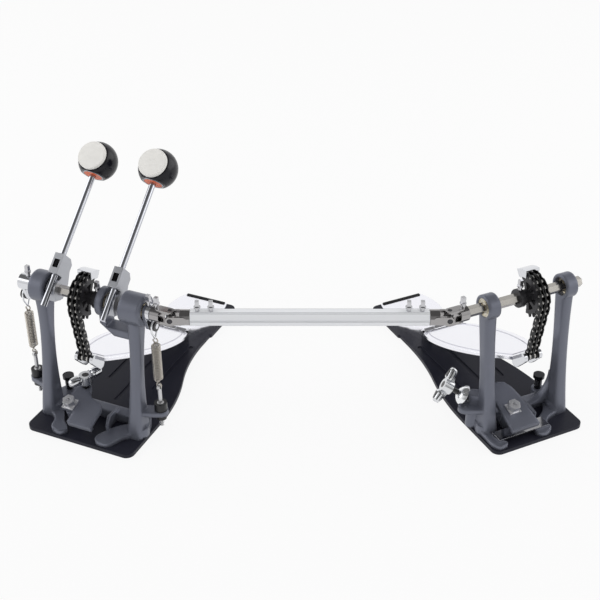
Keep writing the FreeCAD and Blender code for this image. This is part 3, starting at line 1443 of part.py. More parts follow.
def heel_plate():
    """A cast wedge on the base plate, its middle barrel inside the footboard's pair."""
    outline = leaf_face(HEEL_SHARES, HEEL_LENGTH, HEEL_WIDTH)
    body = outline.extrude(AXIS_Z * (2 * HINGE_HEIGHT))
    body.translate(vec(0, HINGE_BACK + HINGE_RADIUS + SIDE_GAP, PLATE_THICK))
    front, rear = HINGE_BACK, HINGE_BACK + HEEL_LENGTH + 2 * HINGE_RADIUS
    half = HEEL_WIDTH
    roof = [vec(-half, front, HINGE_HEIGHT), vec(-half, rear, HEEL_REAR_HEIGHT),
            vec(-half, rear, 4 * HINGE_HEIGHT), vec(-half, front, 4 * HINGE_HEIGHT)]
    above = polygon_face(roof).extrude(AXIS_U * (2 * half))
    edge = HINGE_WIDTH / 2
    room = cylinder_u(HINGE_RADIUS + SIDE_GAP, -edge - SIDE_GAP, edge + SIDE_GAP, HINGE_BACK, HINGE_HEIGHT)
    inner = KNUCKLE_SHARE * HINGE_WIDTH / 2
    barrel = cylinder_u(HINGE_RADIUS, -inner, inner, HINGE_BACK, HINGE_HEIGHT)
    stem = block(-inner, inner, HINGE_BACK, HINGE_BACK + 2 * HINGE_RADIUS, PLATE_THICK, HINGE_HEIGHT)
    bore = cylinder_u(HINGE_PIN_RADIUS + SEAT_FIT, -edge, edge, HINGE_BACK, HINGE_HEIGHT)
    return fuse([body.cut(above).cut(room), barrel, stem]).cut(bore)


def hinge_pin():
    edge = HINGE_WIDTH / 2 + HINGE_PIN_OVERHANG
    return cylinder_u(HINGE_PIN_RADIUS, -edge, edge, HINGE_BACK, HINGE_HEIGHT)


# Hoop clamps and floor spurs


def clamp_outline(pedal):
    shift = pedal.clamp - pedal.bolt
    return [(shift + across * CLAMP_WIDTH, along * CLAMP_FRONT) for across, along in pedal.clamp_shares]


def clamp_plate(pedal):
    """The cast plate that rocks on its bolt and bites the hoop with its front lip."""
    outline = clamp_outline(pedal)
    plate = prism_z(outline, SIDE_GAP, SIDE_GAP + CLAMP_THICK)
    left, right = outline[0], outline[1]
    lip = block(left[0], right[0], left[1], left[1] + CLAMP_THICK, -pedal.lip, SIDE_GAP + CLAMP_THICK)
    hole = cylinder_z(BOLT_RADIUS + SEAT_FIT, -OVERRUN, CLAMP_THICK + OVERRUN)
    placed = clamp_placed(pedal, fuse([plate, lip]).cut(hole))
    if pedal is PRIMARY:
        place = knob_place()
        placed = placed.cut(cylinder_z(KNOB_SCREW + SWING_GAP, 0, place.z, place.x, place.y))
    return placed


def clamp_bolt(pedal):
    """The clamp's bolt with its square washer and socket-headed nut."""
    top = SIDE_GAP + CLAMP_THICK
    side = CLAMP_WASHER / 2
    washer = block(-side, side, -side, side, top, top + CLAMP_WASHER_THICK)
    nut_start = top + CLAMP_WASHER_THICK
    corner = CLAMP_NUT_FLATS / math.sqrt(3)
    nut = prism_z(ring_points(corner, 6), nut_start, nut_start + CLAMP_NUT_HEIGHT)
    shank = cylinder_z(BOLT_RADIUS, -BOLT_GRIP, nut_start + CLAMP_NUT_HEIGHT)
    socket = cylinder_z(BOLT_SOCKET, nut_start + CLAMP_NUT_HEIGHT / 2, nut_start + CLAMP_NUT_HEIGHT + OVERRUN)
    return clamp_placed(pedal, fuse([washer, nut, shank]).cut(socket))


def wing_head():
    """A two-winged thumb head standing on the origin, its wings along U."""
    half = WING_SPAN / 2
    outline = [(-half, WING_HEIGHT), (-half, WING_HEIGHT / 2), (-KNOB_HUB / 2, 0), (KNOB_HUB / 2, 0),
               (half, WING_HEIGHT / 2), (half, WING_HEIGHT), (half / 2, WING_HEIGHT),
               (KNOB_HUB, KNOB_HUB_HEIGHT), (-KNOB_HUB, KNOB_HUB_HEIGHT), (-half / 2, WING_HEIGHT)]
    points = [vec(u, -WING_THICK / 2, z) for u, z in outline]
    wing = polygon_face(points).extrude(AXIS_V * WING_THICK)
    hub = cylinder_z(KNOB_HUB, 0, KNOB_HUB_HEIGHT)
    return fuse([wing, hub])


def knob_place():
    return vec(PRIMARY_CLAMP + KNOB_SHARE * CLAMP_WIDTH, KNOB_BACK, KNOB_HEIGHT)


def clamp_knob():
    """The primary pedal's thumb screw, standing behind its clamp plate on the bridge."""
    place = knob_place()
    foot_height = PLATE_THICK + BRIDGE_HEIGHT + SIDE_GAP
    head = wing_head()
    head.rotate(ORIGIN, AXIS_Z, KNOB_TURN)
    head.translate(place)
    screw = cylinder_z(KNOB_SCREW, foot_height, place.z, place.x, place.y)
    return fuse([head, screw])


def clamp_jaw():
    """The slave clamp's bright lower jaw, lying on the feet under the lip."""
    top = PLATE_THICK + FOOT_HEIGHT
    jaw = block(JAW_MIDDLE - JAW_WIDTH / 2, JAW_MIDDLE + JAW_WIDTH / 2, -JAW_FRONT, JAW_LENGTH - JAW_FRONT,
                top, top + JAW_THICK)
    boss = clamp_placed(SLAVE, cylinder_z(BOLT_BOSS + SIDE_GAP, -CLAMP_HEIGHT, CLAMP_HEIGHT))
    return jaw.cut(boss)


def wing_axis():
    lift, swing = math.radians(SIDE_WING_LIFT), math.radians(SIDE_WING_SWING)
    return vec(math.cos(lift) * math.cos(swing), math.cos(lift) * math.sin(swing), math.sin(lift))


def wing_seat():
    return vec(SLAVE_POST_BASE + SIDE_WING_OUT, SIDE_WING_BACK, SIDE_WING_HEIGHT)


def wing_boss():
    """The slave frame's lug for the side thumb screw, beside the foot of its inner post."""
    end = (SLAVE_POST_BASE + SIDE_WING_OUT - LUG_RADIUS, LUG_RADIUS)
    return capsule_z((SLAVE_POST_BASE, 0), LUG_RADIUS, end, LUG_RADIUS, PLATE_THICK,
                     SIDE_WING_HEIGHT + LUG_RADIUS)


def wing_hole():
    start = wing_seat() - wing_axis() * (2 * POST_WIDTH)
    return Part.makeCylinder(KNOB_SCREW + SIDE_GAP, 4 * POST_WIDTH, start, wing_axis())


def side_wing():
    """The slave pedal's thumb screw, reaching out and up from the inner post."""
    head = wing_head()
    head.rotate(ORIGIN, AXIS_Z, SIDE_WING_TURN)
    turn = FreeCAD.Rotation(AXIS_Z, wing_axis())
    place = wing_seat() + wing_axis() * SIDE_WING_REACH
    head.Placement = FreeCAD.Placement(place, turn).multiply(head.Placement)
    start = wing_seat() - wing_axis() * POST_WIDTH
    screw = Part.makeCylinder(KNOB_SCREW, SIDE_WING_REACH + POST_WIDTH, start, wing_axis())
    return fuse([head, screw])


def wing_cup():
    """The bright domed washer between the slave frame's lug and the side thumb screw."""
    seat = wing_seat()
    dome = Part.makeSphere(CUP_RADIUS, seat)
    behind = Part.makeCylinder(2 * CUP_RADIUS, 2 * CUP_RADIUS, seat + wing_axis() * (CUP_RADIUS - CUP_DEPTH),
                               wing_axis() * -1)
    hole = Part.makeCylinder(KNOB_SCREW + SIDE_GAP, 4 * CUP_RADIUS, seat - wing_axis() * (2 * CUP_RADIUS),
                             wing_axis())
    ear = spring_ear(SLAVE.post_middles()[1], SLAVE_SPARE_EAR, SIDE_GAP)
    return dome.cut([behind, hole, wing_boss(), ear])


def spur(pedal):
    """The knurled screw whose point bites the carpet when it is driven down."""
    place = spur_place(pedal)
    shank = cylinder_z(SPUR_RADIUS, SPUR_TIP + SPUR_RADIUS, SPUR_TOP, *place)
    tip = Part.makeCone(SPUR_RADIUS / 4, SPUR_RADIUS, SPUR_RADIUS, vec(*place, SPUR_TIP), AXIS_Z)
    points = [(place[0] + u, place[1] + v) for u, v in ring_points(SPUR_HEAD, NUT_FACETS)]
    head = prism_z(points, SPUR_TOP - SPUR_HEAD_HEIGHT, SPUR_TOP)
    return fuse([shank, tip, head])


# The whole part


def pedal_nodes(name, pedal):
    """The pieces that both pedals have, under names that start with the pedal's own."""
    pieces = {
        "base_plate": base_plate(pedal),
        "frame": frame(pedal),
        "bearings": bearings(pedal),
        "heel_plate": heel_plate(),
        "footboard": footboard(),
        "toe_clevis": toe_clevis(pedal),
        "sprocket": sprocket_with_chain(pedal),
        "chain_link_1": wrap_link(pedal, 0),
        "chain_link_2": wrap_link(pedal, 1),
        "chain_run": chain_run(pedal),
        "chain_clip": chain_clip(pedal),
        "clamp_plate": clamp_plate(pedal),
        "clamp_bolt": clamp_bolt(pedal),
        "fasteners": fasteners(pedal),
    }
    return {f"{name}_{piece}": pedal.place(shape) for piece, shape in pieces.items()}


def fasteners(pedal):
    """The hinge pin and the floor spur, and the slave's cup under its thumb screw."""
    pieces = [hinge_pin(), spur(pedal)]
    if pedal is SLAVE:
        pieces.append(wing_cup())
    return Part.makeCompound(pieces)


def screws(seats, sunk_seats=()):
    standing = [key_screw(*seat) for seat in seats]
    return Part.makeCompound(standing + [sunk_screw(*seat) for seat in sunk_seats])


def primary_nodes():
    pieces = {
        "main_shaft": main_shaft(),
        "aux_shaft": aux_shaft(),
        "outer_rocker": rocker(-1),
        "inner_rocker": rocker(1),
        "spring_tensioners": tensioners(),
        "primary_hub_yoke": hub_yoke(yoke_hub_start()),
        "primary_clamp_knob": clamp_knob(),
        "main_shaft_screws": screws([rocker_screw(-1), sprocket_screw(PRIMARY)], [hub_screw(BEATER_1_PLACE)]),
        "aux_shaft_screws": screws([rocker_screw(1), yoke_screw()], [hub_screw(BEATER_2_PLACE)]),
    }
    beaters = ((1, BEATER_1_PLACE, BEATER_1_REACH, OUTER_SPRING),
               (2, BEATER_2_PLACE, BEATER_2_REACH, INNER_SPRING))
    for number, place, reach, line in beaters:
        pieces[f"beater_hub_{number}"] = beater_hub(place)
        pieces[f"beater_rod_{number}"] = beater_rod(place, reach)
        pieces[f"beater_head_{number}"] = beater_head(place, reach)
        pieces[f"beater_felt_{number}"] = beater_felt(place, reach)
        pieces[f"stirrup_{number}"] = stirrup(line)
        pieces[f"spring_{number}"] = spring(line)
    return {piece: PRIMARY.place(shape) for piece, shape in pieces.items()}


def slave_nodes():
    pieces = {
        "slave_shaft": slave_shaft(),
        "slave_hub_yoke": hub_yoke(yoke_hub_start()),
        "slave_shaft_screws": screws([yoke_screw(), sprocket_screw(SLAVE)]),
        "slave_clamp_jaw": clamp_jaw(),
        "slave_clamp_wing": side_wing(),
    }
    return {piece: SLAVE.place(shape) for piece, shape in pieces.items()}


def drive_nodes():
    tube_keys = screws(tube_screws())
    tube_keys.translate(AXIS_Z * AXLE_HEIGHT)
    return {
        "drive_tube": drive_tube(),
        "drive_rod_a": rod_yoke_placed(-1, ROD_A_LENGTH),
        "drive_rod_b": rod_yoke_placed(1, ROD_B_LENGTH),
        "drive_cross_a": cross_placed(-1),
        "drive_cross_b": cross_placed(1),
        "drive_tube_screws": tube_keys,
    }


def standing_offset(shapes):
    """The shift that puts the origin under the middle of the whole part's box."""
    box = Part.makeCompound(shapes).optimalBoundingBox(False, False)
    return vec(-(box.XMin + box.XMax) / 2, -(box.YMin + box.YMax) / 2, 0)


NODES = {**pedal_nodes("primary", PRIMARY), **pedal_nodes("slave", SLAVE), **primary_nodes(), **slave_nodes(),
         **drive_nodes()}
OUTLINE_NODES = ("primary_base_plate", "slave_base_plate", "primary_frame", "slave_frame", "outer_rocker")
OFFSET = standing_offset([NODES[name] for name in OUTLINE_NODES])

os.makedirs("parts", exist_ok=True)
for node, shape in NODES.items():
    shape.translate(OFFSET)
    shape.exportStep(f"parts/{node}.step")
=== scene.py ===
import json
import math
import bpy
from mathutils import Matrix, Vector


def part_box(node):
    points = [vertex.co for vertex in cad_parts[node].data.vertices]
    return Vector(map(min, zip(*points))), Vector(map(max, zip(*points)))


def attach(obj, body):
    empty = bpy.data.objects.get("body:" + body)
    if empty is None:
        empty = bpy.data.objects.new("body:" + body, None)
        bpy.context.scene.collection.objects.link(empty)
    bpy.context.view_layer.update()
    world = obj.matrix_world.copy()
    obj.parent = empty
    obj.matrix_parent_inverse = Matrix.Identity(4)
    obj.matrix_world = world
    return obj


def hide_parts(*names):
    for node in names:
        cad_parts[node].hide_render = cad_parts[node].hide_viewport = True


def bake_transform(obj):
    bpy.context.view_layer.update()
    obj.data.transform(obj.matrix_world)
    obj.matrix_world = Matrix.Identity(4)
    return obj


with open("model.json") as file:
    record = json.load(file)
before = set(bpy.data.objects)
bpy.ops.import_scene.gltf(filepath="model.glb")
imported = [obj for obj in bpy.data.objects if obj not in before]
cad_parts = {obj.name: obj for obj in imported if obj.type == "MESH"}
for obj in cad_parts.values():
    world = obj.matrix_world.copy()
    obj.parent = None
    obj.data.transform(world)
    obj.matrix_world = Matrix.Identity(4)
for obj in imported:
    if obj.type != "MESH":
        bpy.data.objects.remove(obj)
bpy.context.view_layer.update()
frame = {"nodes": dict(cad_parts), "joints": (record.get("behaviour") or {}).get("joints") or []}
NODES = frame["nodes"]
JOINTS = {joint["name"]: joint for joint in frame["joints"]}

bl_info = {
    "name": "Double bass drum pedal",
    "version": (1, 0, 0),
    "blender": (4, 5, 0),
    "location": "View3D > Sidebar > Pedal",
    "description": "Finishes and fine pieces of a double bass drum pedal",
    "category": "Object",
}

MM = 0.001
UP = Vector((0, 0, 1))


class PedalFinish(bpy.types.PropertyGroup):
    """Colours a user would change."""
    cast_grey: bpy.props.FloatVectorProperty(
        name="Cast grey", description="Satin paint of the cast frames and clamps",
        subtype="COLOR", size=3, min=0, max=1, default=(0.158, 0.167, 0.206))
    hub_grey: bpy.props.FloatVectorProperty(
        name="Hub grey", description="Bare cast metal of the beater hubs",
        subtype="COLOR", size=3, min=0, max=1, default=(0.44, 0.45, 0.48))
    plate_black: bpy.props.FloatVectorProperty(
        name="Base plate black", description="Powder coat of the base plates",
        subtype="COLOR", size=3, min=0, max=1, default=(0.0190, 0.0196, 0.0300))
    felt_white: bpy.props.FloatVectorProperty(
        name="Felt white", description="Pressed wool of the beater faces",
        subtype="COLOR", size=3, min=0, max=1, default=(0.92, 0.905, 0.87))
    insert_orange: bpy.props.FloatVectorProperty(
        name="Insert orange", description="Round insert under each beater head",
        subtype="COLOR", size=3, min=0, max=1, default=(0.80, 0.135, 0.03))
    tube_silver: bpy.props.FloatVectorProperty(
        name="Tube silver", description="Anodised aluminium of the drive tube",
        subtype="COLOR", size=3, min=0, max=1, default=(0.93, 0.945, 1.0))


class PedalSizes(bpy.types.PropertyGroup):
    """Sizes of the pieces that are modelled here."""
    spring_wire: bpy.props.FloatProperty(
        name="Spring wire", description="Radius of the spring wire", unit="LENGTH",
        default=0.8 * MM, min=0.3 * MM, max=1.0 * MM)
    spring_coil: bpy.props.FloatProperty(
        name="Spring coil", description="Radius of the coil at the middle of the wire", unit="LENGTH",
        default=4.95 * MM, min=3 * MM, max=7 * MM)
    spring_turns: bpy.props.IntProperty(
        name="Spring turns", description="Number of turns of each spring", default=22, min=8, max=30)
    spring_hook: bpy.props.FloatProperty(
        name="Spring hook", description="Radius of the hook at each end of a spring", unit="LENGTH",
        default=3.0 * MM, min=2 * MM, max=5 * MM)
    thread_pitch: bpy.props.FloatProperty(
        name="Thread pitch", description="Pitch of the tension rods' thread", unit="LENGTH",
        default=0.9 * MM, min=0.5 * MM, max=2 * MM)
    insert_radius: bpy.props.FloatProperty(
        name="Insert radius", description="Radius of the round insert under a beater head", unit="LENGTH",
        default=10.8 * MM, min=6 * MM, max=15 * MM)


class PedalStage(bpy.types.PropertyGroup):
    """Camera and light."""
    lens: bpy.props.FloatProperty(
        name="Lens", description="Focal length", unit="CAMERA", default=67.2, min=20, max=200)
    key_power: bpy.props.FloatProperty(
        name="Key lamps", description="Power of the large lamp on either side", subtype="POWER",
        default=13, min=0, max=200)
    sky: bpy.props.FloatProperty(
        name="Sky", description="Strength of the soft light all round", default=0.84, min=0, max=3)
    ceiling: bpy.props.FloatProperty(
        name="Ceiling", description="How bright metal sees the room overhead", default=0.16, min=0, max=1)
    front: bpy.props.FloatProperty(
        name="Front", description="How bright metal sees the front wall of the room",
        default=0.36, min=0, max=1)


# Shader node groups


def group_shell(name, inputs, outputs):
    group = bpy.data.node_groups.new(name, "ShaderNodeTree")
    for label, default in inputs:
        socket = group.interface.new_socket(label, in_out="INPUT", socket_type="NodeSocketFloat")
        socket.default_value = default
    for label in outputs:
        group.interface.new_socket(label, in_out="OUTPUT", socket_type="NodeSocketFloat")
    nodes = group.nodes
    return group, nodes, nodes.new("NodeGroupInput"), nodes.new("NodeGroupOutput")


def feed(links, socket, value):
    """Link an output into a socket, or set a plain value there."""
    if hasattr(value, "is_output"):
        links.new(value, socket)
    else:
        socket.default_value = value


def noise(nodes, links, vector, scale, detail, roughness=0.55):
    node = nodes.new("ShaderNodeTexNoise")
    node.inputs["Detail"].default_value = detail
    node.inputs["Roughness"].default_value = roughness
    links.new(vector, node.inputs["Vector"])
    feed(links, node.inputs["Scale"], scale)
    return node.outputs["Fac"]


def math_node(nodes, links, operation, *values):
    node = nodes.new("ShaderNodeMath")
    node.operation = operation
    for socket, value in zip(node.inputs, values):
        feed(links, socket, value)
    return node.outputs[0]


def ranged(nodes, links, value, low, high, to_low, to_high):
    node = nodes.new("ShaderNodeMapRange")
    node.inputs["From Min"].default_value = low
    node.inputs["From Max"].default_value = high
    node.inputs["To Min"].default_value = to_low
    node.inputs["To Max"].default_value = to_high
    links.new(value, node.inputs["Value"])
    return node.outputs[0]


def grain_group():
    """Fine grain, broad blotches and scattered scuffs over a surface."""
    if "surface_grain" in bpy.data.node_groups:
        return bpy.data.node_groups["surface_grain"]
    group, nodes, given, out = group_shell(
        "surface_grain", (("Grain Scale", 900.0), ("Blotch Scale", 45.0), ("Scuff Scale", 260.0)),
        ("Grain", "Blotch", "Scuff"))
    links = group.links
    place = nodes.new("ShaderNodeTexCoord").outputs["Object"]
    links.new(noise(nodes, links, place, given.outputs["Grain Scale"], 3.0), out.inputs["Grain"])
    links.new(noise(nodes, links, place, given.outputs["Blotch Scale"], 4.0, 0.6), out.inputs["Blotch"])
    scuff = noise(nodes, links, place, given.outputs["Scuff Scale"], 6.0, 0.7)
    links.new(ranged(nodes, links, scuff, 0.62, 0.74, 0.0, 1.0), out.inputs["Scuff"])
    return group


def brush_group():
    """Fine parallel lines left by brushing or drawing, long along one direction."""
    if "brushed_lines" in bpy.data.node_groups:
        return bpy.data.node_groups["brushed_lines"]
    group, nodes, given, out = group_shell(
        "brushed_lines", (("Line Scale", 1400.0), ("Stretch", 0.02)), ("Lines", "Bands"))
    links = group.links
    place = nodes.new("ShaderNodeTexCoord").outputs["Object"]
    split = nodes.new("ShaderNodeSeparateXYZ")
    links.new(place, split.inputs[0])
    join = nodes.new("ShaderNodeCombineXYZ")
    drawn = math_node(nodes, links, "MULTIPLY", split.outputs["X"], given.outputs["Stretch"])
    links.new(drawn, join.inputs["X"])
    links.new(split.outputs["Y"], join.inputs["Y"])
    links.new(split.outputs["Z"], join.inputs["Z"])
    links.new(noise(nodes, links, join.outputs[0], given.outputs["Line Scale"], 2.0), out.inputs["Lines"])
    links.new(noise(nodes, links, join.outputs[0], 240.0, 3.0), out.inputs["Bands"])
    return group


def placed_group(nodes, group, **values):
    node = nodes.new("ShaderNodeGroup")
    node.node_tree = group
    for label, value in values.items():
        node.inputs[label.replace("_", " ")].default_value = value
    return node


# Materials


# Black plastic; the same black is also painted shade in the beater hubs' screw pockets.
BLACK_PLASTIC_AND_POCKET_SHADE = (0.012, 0.012, 0.014)
BRIGHT_STEEL = (0.56, 0.56, 0.58)


def scaled(colour, factor):
    return tuple(min(1.0, channel * factor) for channel in colour)


class Finish:
    """A material under way: its nodes, its shader and its grain group."""

    def __init__(self, name, colour, metallic=0.0, grain=(900.0, 45.0, 260.0)):
        self.material = bpy.data.materials.new(name)
        self.material.use_nodes = True
        tree = self.material.node_tree
        tree.nodes.clear()
        self.nodes, self.links = tree.nodes, tree.links
        self.shader = self.nodes.new("ShaderNodeBsdfPrincipled")
        output = self.nodes.new("ShaderNodeOutputMaterial")
        self.links.new(self.shader.outputs[0], output.inputs["Surface"])
        self.shader.inputs["Metallic"].default_value = metallic
        self.grain = placed_group(self.nodes, grain_group(), Grain_Scale=grain[0], Blotch_Scale=grain[1],
                                  Scuff_Scale=grain[2])
        self.colour = colour
        self.normal = None

    def math(self, operation, *values):
        return math_node(self.nodes, self.links, operation, *values)

    def vector(self, operation, *values):
        """A sum of vectors, each an output or plain numbers."""
        node = self.nodes.new("ShaderNodeVectorMath")
        node.operation = operation
        for socket, value in zip(node.inputs, values):
            feed(self.links, socket, value)
        return node.outputs["Value" if operation in ("DOT_PRODUCT", "DISTANCE", "LENGTH") else "Vector"]

    def ranged(self, *values):
        return ranged(self.nodes, self.links, *values)

    def mixed(self, factor, first, second, blend="MIX"):
        """A colour between two, each an output or a plain colour."""
        node = self.nodes.new("ShaderNodeMix")
        node.data_type = "RGBA"
        node.blend_type = blend
        feed(self.links, node.inputs["Factor"], factor)
        for value, socket in ((first, node.inputs["A"]), (second, node.inputs["B"])):
            feed(self.links, socket, value if hasattr(value, "is_output") else (*value, 1))
        return node.outputs["Result"]

    def blotched(self, dark, light):
        """Broad, soft variation of the colour."""
        self.colour = self.mixed(self.grain.outputs["Blotch"], scaled(self.colour, dark),
                                 scaled(self.colour, light))
        return self

    def masked(self, mask, colour):
        self.colour = self.mixed(mask, self.colour, colour)
        return self

    def rough(self, low, high):
        value = self.ranged(self.grain.outputs["Blotch"], 0.3, 0.7, low, high)
        self.links.new(value, self.shader.inputs["Roughness"])
        return self

    def edged(self, radius):
        """Rounds the edges in the shading, as casting and polishing do."""
        bevel = self.nodes.new("ShaderNodeBevel")
        bevel.samples = 4
        bevel.inputs["Radius"].default_value = radius
        self.normal = bevel.outputs[0]
        return self

    def bumped(self, height, distance, strength):
        bump = self.nodes.new("ShaderNodeBump")
        bump.inputs["Strength"].default_value = strength
        bump.inputs["Distance"].default_value = distance
        self.links.new(height, bump.inputs["Height"])
        if self.normal is not None:
            self.links.new(self.normal, bump.inputs["Normal"])
        self.normal = bump.outputs[0]
        return self

    def grained(self, distance, strength):
        return self.bumped(self.grain.outputs["Grain"], distance, strength)

    def done(self, **values):
        for label, value in values.items():
            self.shader.inputs[label.replace("_", " ")].default_value = value
        if hasattr(self.colour, "is_output"):
            self.links.new(self.colour, self.shader.inputs["Base Color"])
        else:
            self.shader.inputs["Base Color"].default_value = (*self.colour, 1)
        if self.normal is not None:
            self.links.new(self.normal, self.shader.inputs["Normal"])
        return self.material

    def position(self):
        return self.nodes.new("ShaderNodeTexCoord").outputs["Object"]

    def along(self, axis, origin):
        """Distance of the surface from origin along an axis, in metres."""
        return self.math("SUBTRACT", self.vector("DOT_PRODUCT", self.position(), axis), axis.dot(origin))

    def within(self, axis, origin, half):
        """One where the surface lies within half of origin along an axis."""
        return self.below(self.math("ABSOLUTE", self.along(axis, origin)), half)

    def reach(self, axis, origin):
        """Distance of the surface from a line, in metres."""
        offset = self.vector("SUBTRACT", self.position(), origin)
        return self.vector("LENGTH", self.vector("CROSS_PRODUCT", offset, axis.normalized()))

    def all_of(self, *masks):
        product = masks[0]
        for mask in masks[1:]:
            product = self.math("MULTIPLY", product, mask)
        return product

    def beyond(self, value, limit):
        return self.math("GREATER_THAN", value, limit)

    def below(self, value, limit):
        return self.math("LESS_THAN", value, limit)

    def metal_where(self, mask, elsewhere, there):
        value = self.ranged(mask, 0, 1, elsewhere, there)
        self.links.new(value, self.shader.inputs["Metallic"])
        return self


def axle_of(joint):
    return Vector(JOINTS[joint]["axis"]), Vector(JOINTS[joint]["pos_m"])


def cast_paint(colour):
    finish = Finish("cast_grey_paint", colour, 0.45, (1500.0, 38.0, 210.0))
    finish.blotched(0.92, 1.10).masked(finish.grain.outputs["Scuff"], scaled(colour, 1.2))
    return finish.rough(0.33, 0.41).edged(4.0 * MM).grained(0.05 * MM, 0.6).done(Specular_IOR_Level=0.4)


def bare_cast(colour, number):
    """Bare cast metal, with painted shade (black) over the sunk screw's pocket."""
    finish = Finish(f"hub_{number}_bare_cast", colour, 0.85, (1200.0, 60.0, 300.0))
    finish.blotched(0.88, 1.12)
    axis, rod, strike, spot = hub_pocket(number)
    front = max(vertex.co.dot(strike) for vertex in NODES[f"beater_hub_{number}"].data.vertices)
    depth, half_depth, half_width, half_length = 1.3 * MM, 1.1 * MM, 3.6 * MM, 5.2 * MM
    floor = spot + strike * (front - depth - spot.dot(strike))
    # Painted shade: the sunk screw's pocket is painted black, standing in for the shade inside it.
    finish.masked(finish.all_of(finish.within(axis, spot, half_width), finish.within(rod, spot, half_length),
                                finish.within(strike, floor, half_depth)), BLACK_PLASTIC_AND_POCKET_SHADE)
    return finish.rough(0.28, 0.38).edged(0.6 * MM).grained(0.05 * MM, 0.6).done()


def beater_lines(number):
    """The axle's direction, the rod's and the way the felt faces."""
    axis = axle_of("primary_kick")[0].normalized()
    rod = Vector(JOINTS[f"beater_{number}_height"]["axis"]).normalized()
    strike = axis.cross(rod).normalized()
    return axis, rod, strike if strike.y < 0 else -strike


def hub_pocket(number):
    """The middle of the sunk screw in a beater hub, found among its shaft's screws."""
    axis, rod, strike = beater_lines(number)
    low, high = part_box(f"beater_hub_{number}")
    level = axis.dot((low + high) / 2)
    screws = NODES["main_shaft_screws" if number == "1" else "aux_shaft_screws"].data.vertices
    near = [vertex.co for vertex in screws if abs(vertex.co.dot(axis) - level) < 5 * MM]
    return axis, rod, strike, sum(near, Vector()) / len(near)


def plate_coat(colour):
    finish = Finish("base_plate_coat", colour, 0.0, (2600.0, 30.0, 340.0))
    finish.blotched(0.8, 1.25).masked(finish.grain.outputs["Scuff"], scaled(colour, 1.8))
    return finish.rough(0.36, 0.46).edged(0.7 * MM).grained(0.04 * MM, 0.7).done(Specular_IOR_Level=0.16)


def chrome(name, tint=(0.70, 0.71, 0.74), low=0.05, high=0.13):
    finish = Finish(name, tint, 1.0, (2200.0, 50.0, 320.0))
    finish.blotched(0.97, 1.02)
    return finish.rough(low, high).edged(0.5 * MM).grained(0.006 * MM, 0.3).done()


def polished_rod():
    """A ground and plated rod, without casting grain."""
    finish = Finish("rod_polished", (0.52, 0.53, 0.57), 1.0, (300.0, 60.0, 240.0))
    return finish.blotched(0.93, 1.04).rough(0.10, 0.16).done()


def drawn_aluminium(colour):
    """Satin anodised tube, with painted shade as a fine dark line along each of its edges."""
    finish = Finish("tube_drawn_aluminium", colour, 0.10)
    axis, centre = axle_of("tube_spin")
    axis.normalize()
    corner = max((vertex.co - centre).cross(axis).length for vertex in NODES["drive_tube"].data.vertices)
    brush = placed_group(finish.nodes, brush_group(), Line_Scale=1600.0, Stretch=0.012)
    finish.colour = finish.mixed(brush.outputs["Bands"], scaled(colour, 0.93), scaled(colour, 1.05))
    # Painted shade: the outermost strip at each edge of the tube is painted dark.
    finish.masked(finish.beyond(finish.reach(axis, centre), corner * 0.988), (0.16, 0.165, 0.18))
    lines = finish.ranged(brush.outputs["Lines"], 0.3, 0.7, 0.30, 0.42)
    finish.links.new(lines, finish.shader.inputs["Roughness"])
    return finish.edged(0.4 * MM).bumped(brush.outputs["Lines"], 0.015 * MM, 0.3).done()


def black_oxide(side, wrapped):
    """Oiled black chain steel with bright rollers between the plates and bright pin ends."""
    name = "sprocket" if wrapped else "chain"
    finish = Finish(f"{side}_{name}_black_oxide", (0.009, 0.009, 0.010), 0.55, (1800.0, 90.0, 420.0))
    finish.blotched(0.7, 1.5)
    axis, centre = axle_of(f"{side}_kick")
    strand_middle, roller_half, pin_end = 3.2 * MM, 0.9 * MM, 6.62 * MM
    body_radius, roller_from, pin_from = 24.5 * MM, 25.8 * MM, 20 * MM
    across = finish.math("ABSOLUTE", finish.along(axis, centre))
    strand = finish.math("ABSOLUTE", finish.math("SUBTRACT", across, strand_middle))
    roller = finish.below(strand, roller_half)
    pin = finish.beyond(across, pin_end)
    if wrapped:
        reach = finish.reach(axis, centre)
        finish.masked(finish.below(reach, body_radius), (0.036, 0.035, 0.039))
        roller = finish.all_of(roller, finish.beyond(reach, roller_from))
        pin = finish.all_of(pin, finish.beyond(reach, pin_from))
    bright = finish.math("MAXIMUM", roller, pin)
    finish.masked(bright, (0.46, 0.45, 0.43)).metal_where(bright, 0.4, 1.0)
    return finish.rough(0.26, 0.40).edged(0.25 * MM).grained(0.02 * MM, 0.4).done()


def gunmetal(name, colour):
    finish = Finish(name, colour, 0.95, (1700.0, 70.0, 300.0))
    finish.blotched(0.85, 1.12)
    return finish.rough(0.16, 0.30).edged(0.5 * MM).grained(0.02 * MM, 0.4).done()


def moulded_black(name, low, high, colour=BLACK_PLASTIC_AND_POCKET_SHADE):
    finish = Finish(name, colour, 0.0, (1900.0, 55.0, 300.0))
    finish.blotched(0.8, 1.3)
    return finish.rough(low, high).edged(0.5 * MM).grained(0.03 * MM, 0.5).done(Specular_IOR_Level=0.3)


def pressed_felt(colour):
    finish = Finish("felt_pressed_wool", colour, 0.0, (2400.0, 160.0, 700.0))
    fibres = finish.nodes.new("ShaderNodeTexNoise")
    fibres.inputs["Scale"].default_value = 950.0
    fibres.inputs["Detail"].default_value = 6.0
    fibres.inputs["Distortion"].default_value = 2.4
    finish.links.new(finish.position(), fibres.inputs["Vector"])
    finish.blotched(0.93, 1.05)
    finish.colour = finish.mixed(0.25, finish.colour, fibres.outputs["Fac"], "OVERLAY")
    finish.rough(0.85, 0.98)
    return finish.bumped(fibres.outputs["Fac"], 0.25 * MM, 0.8).done(Sheen_Weight=0.4, Sheen_Roughness=0.5)


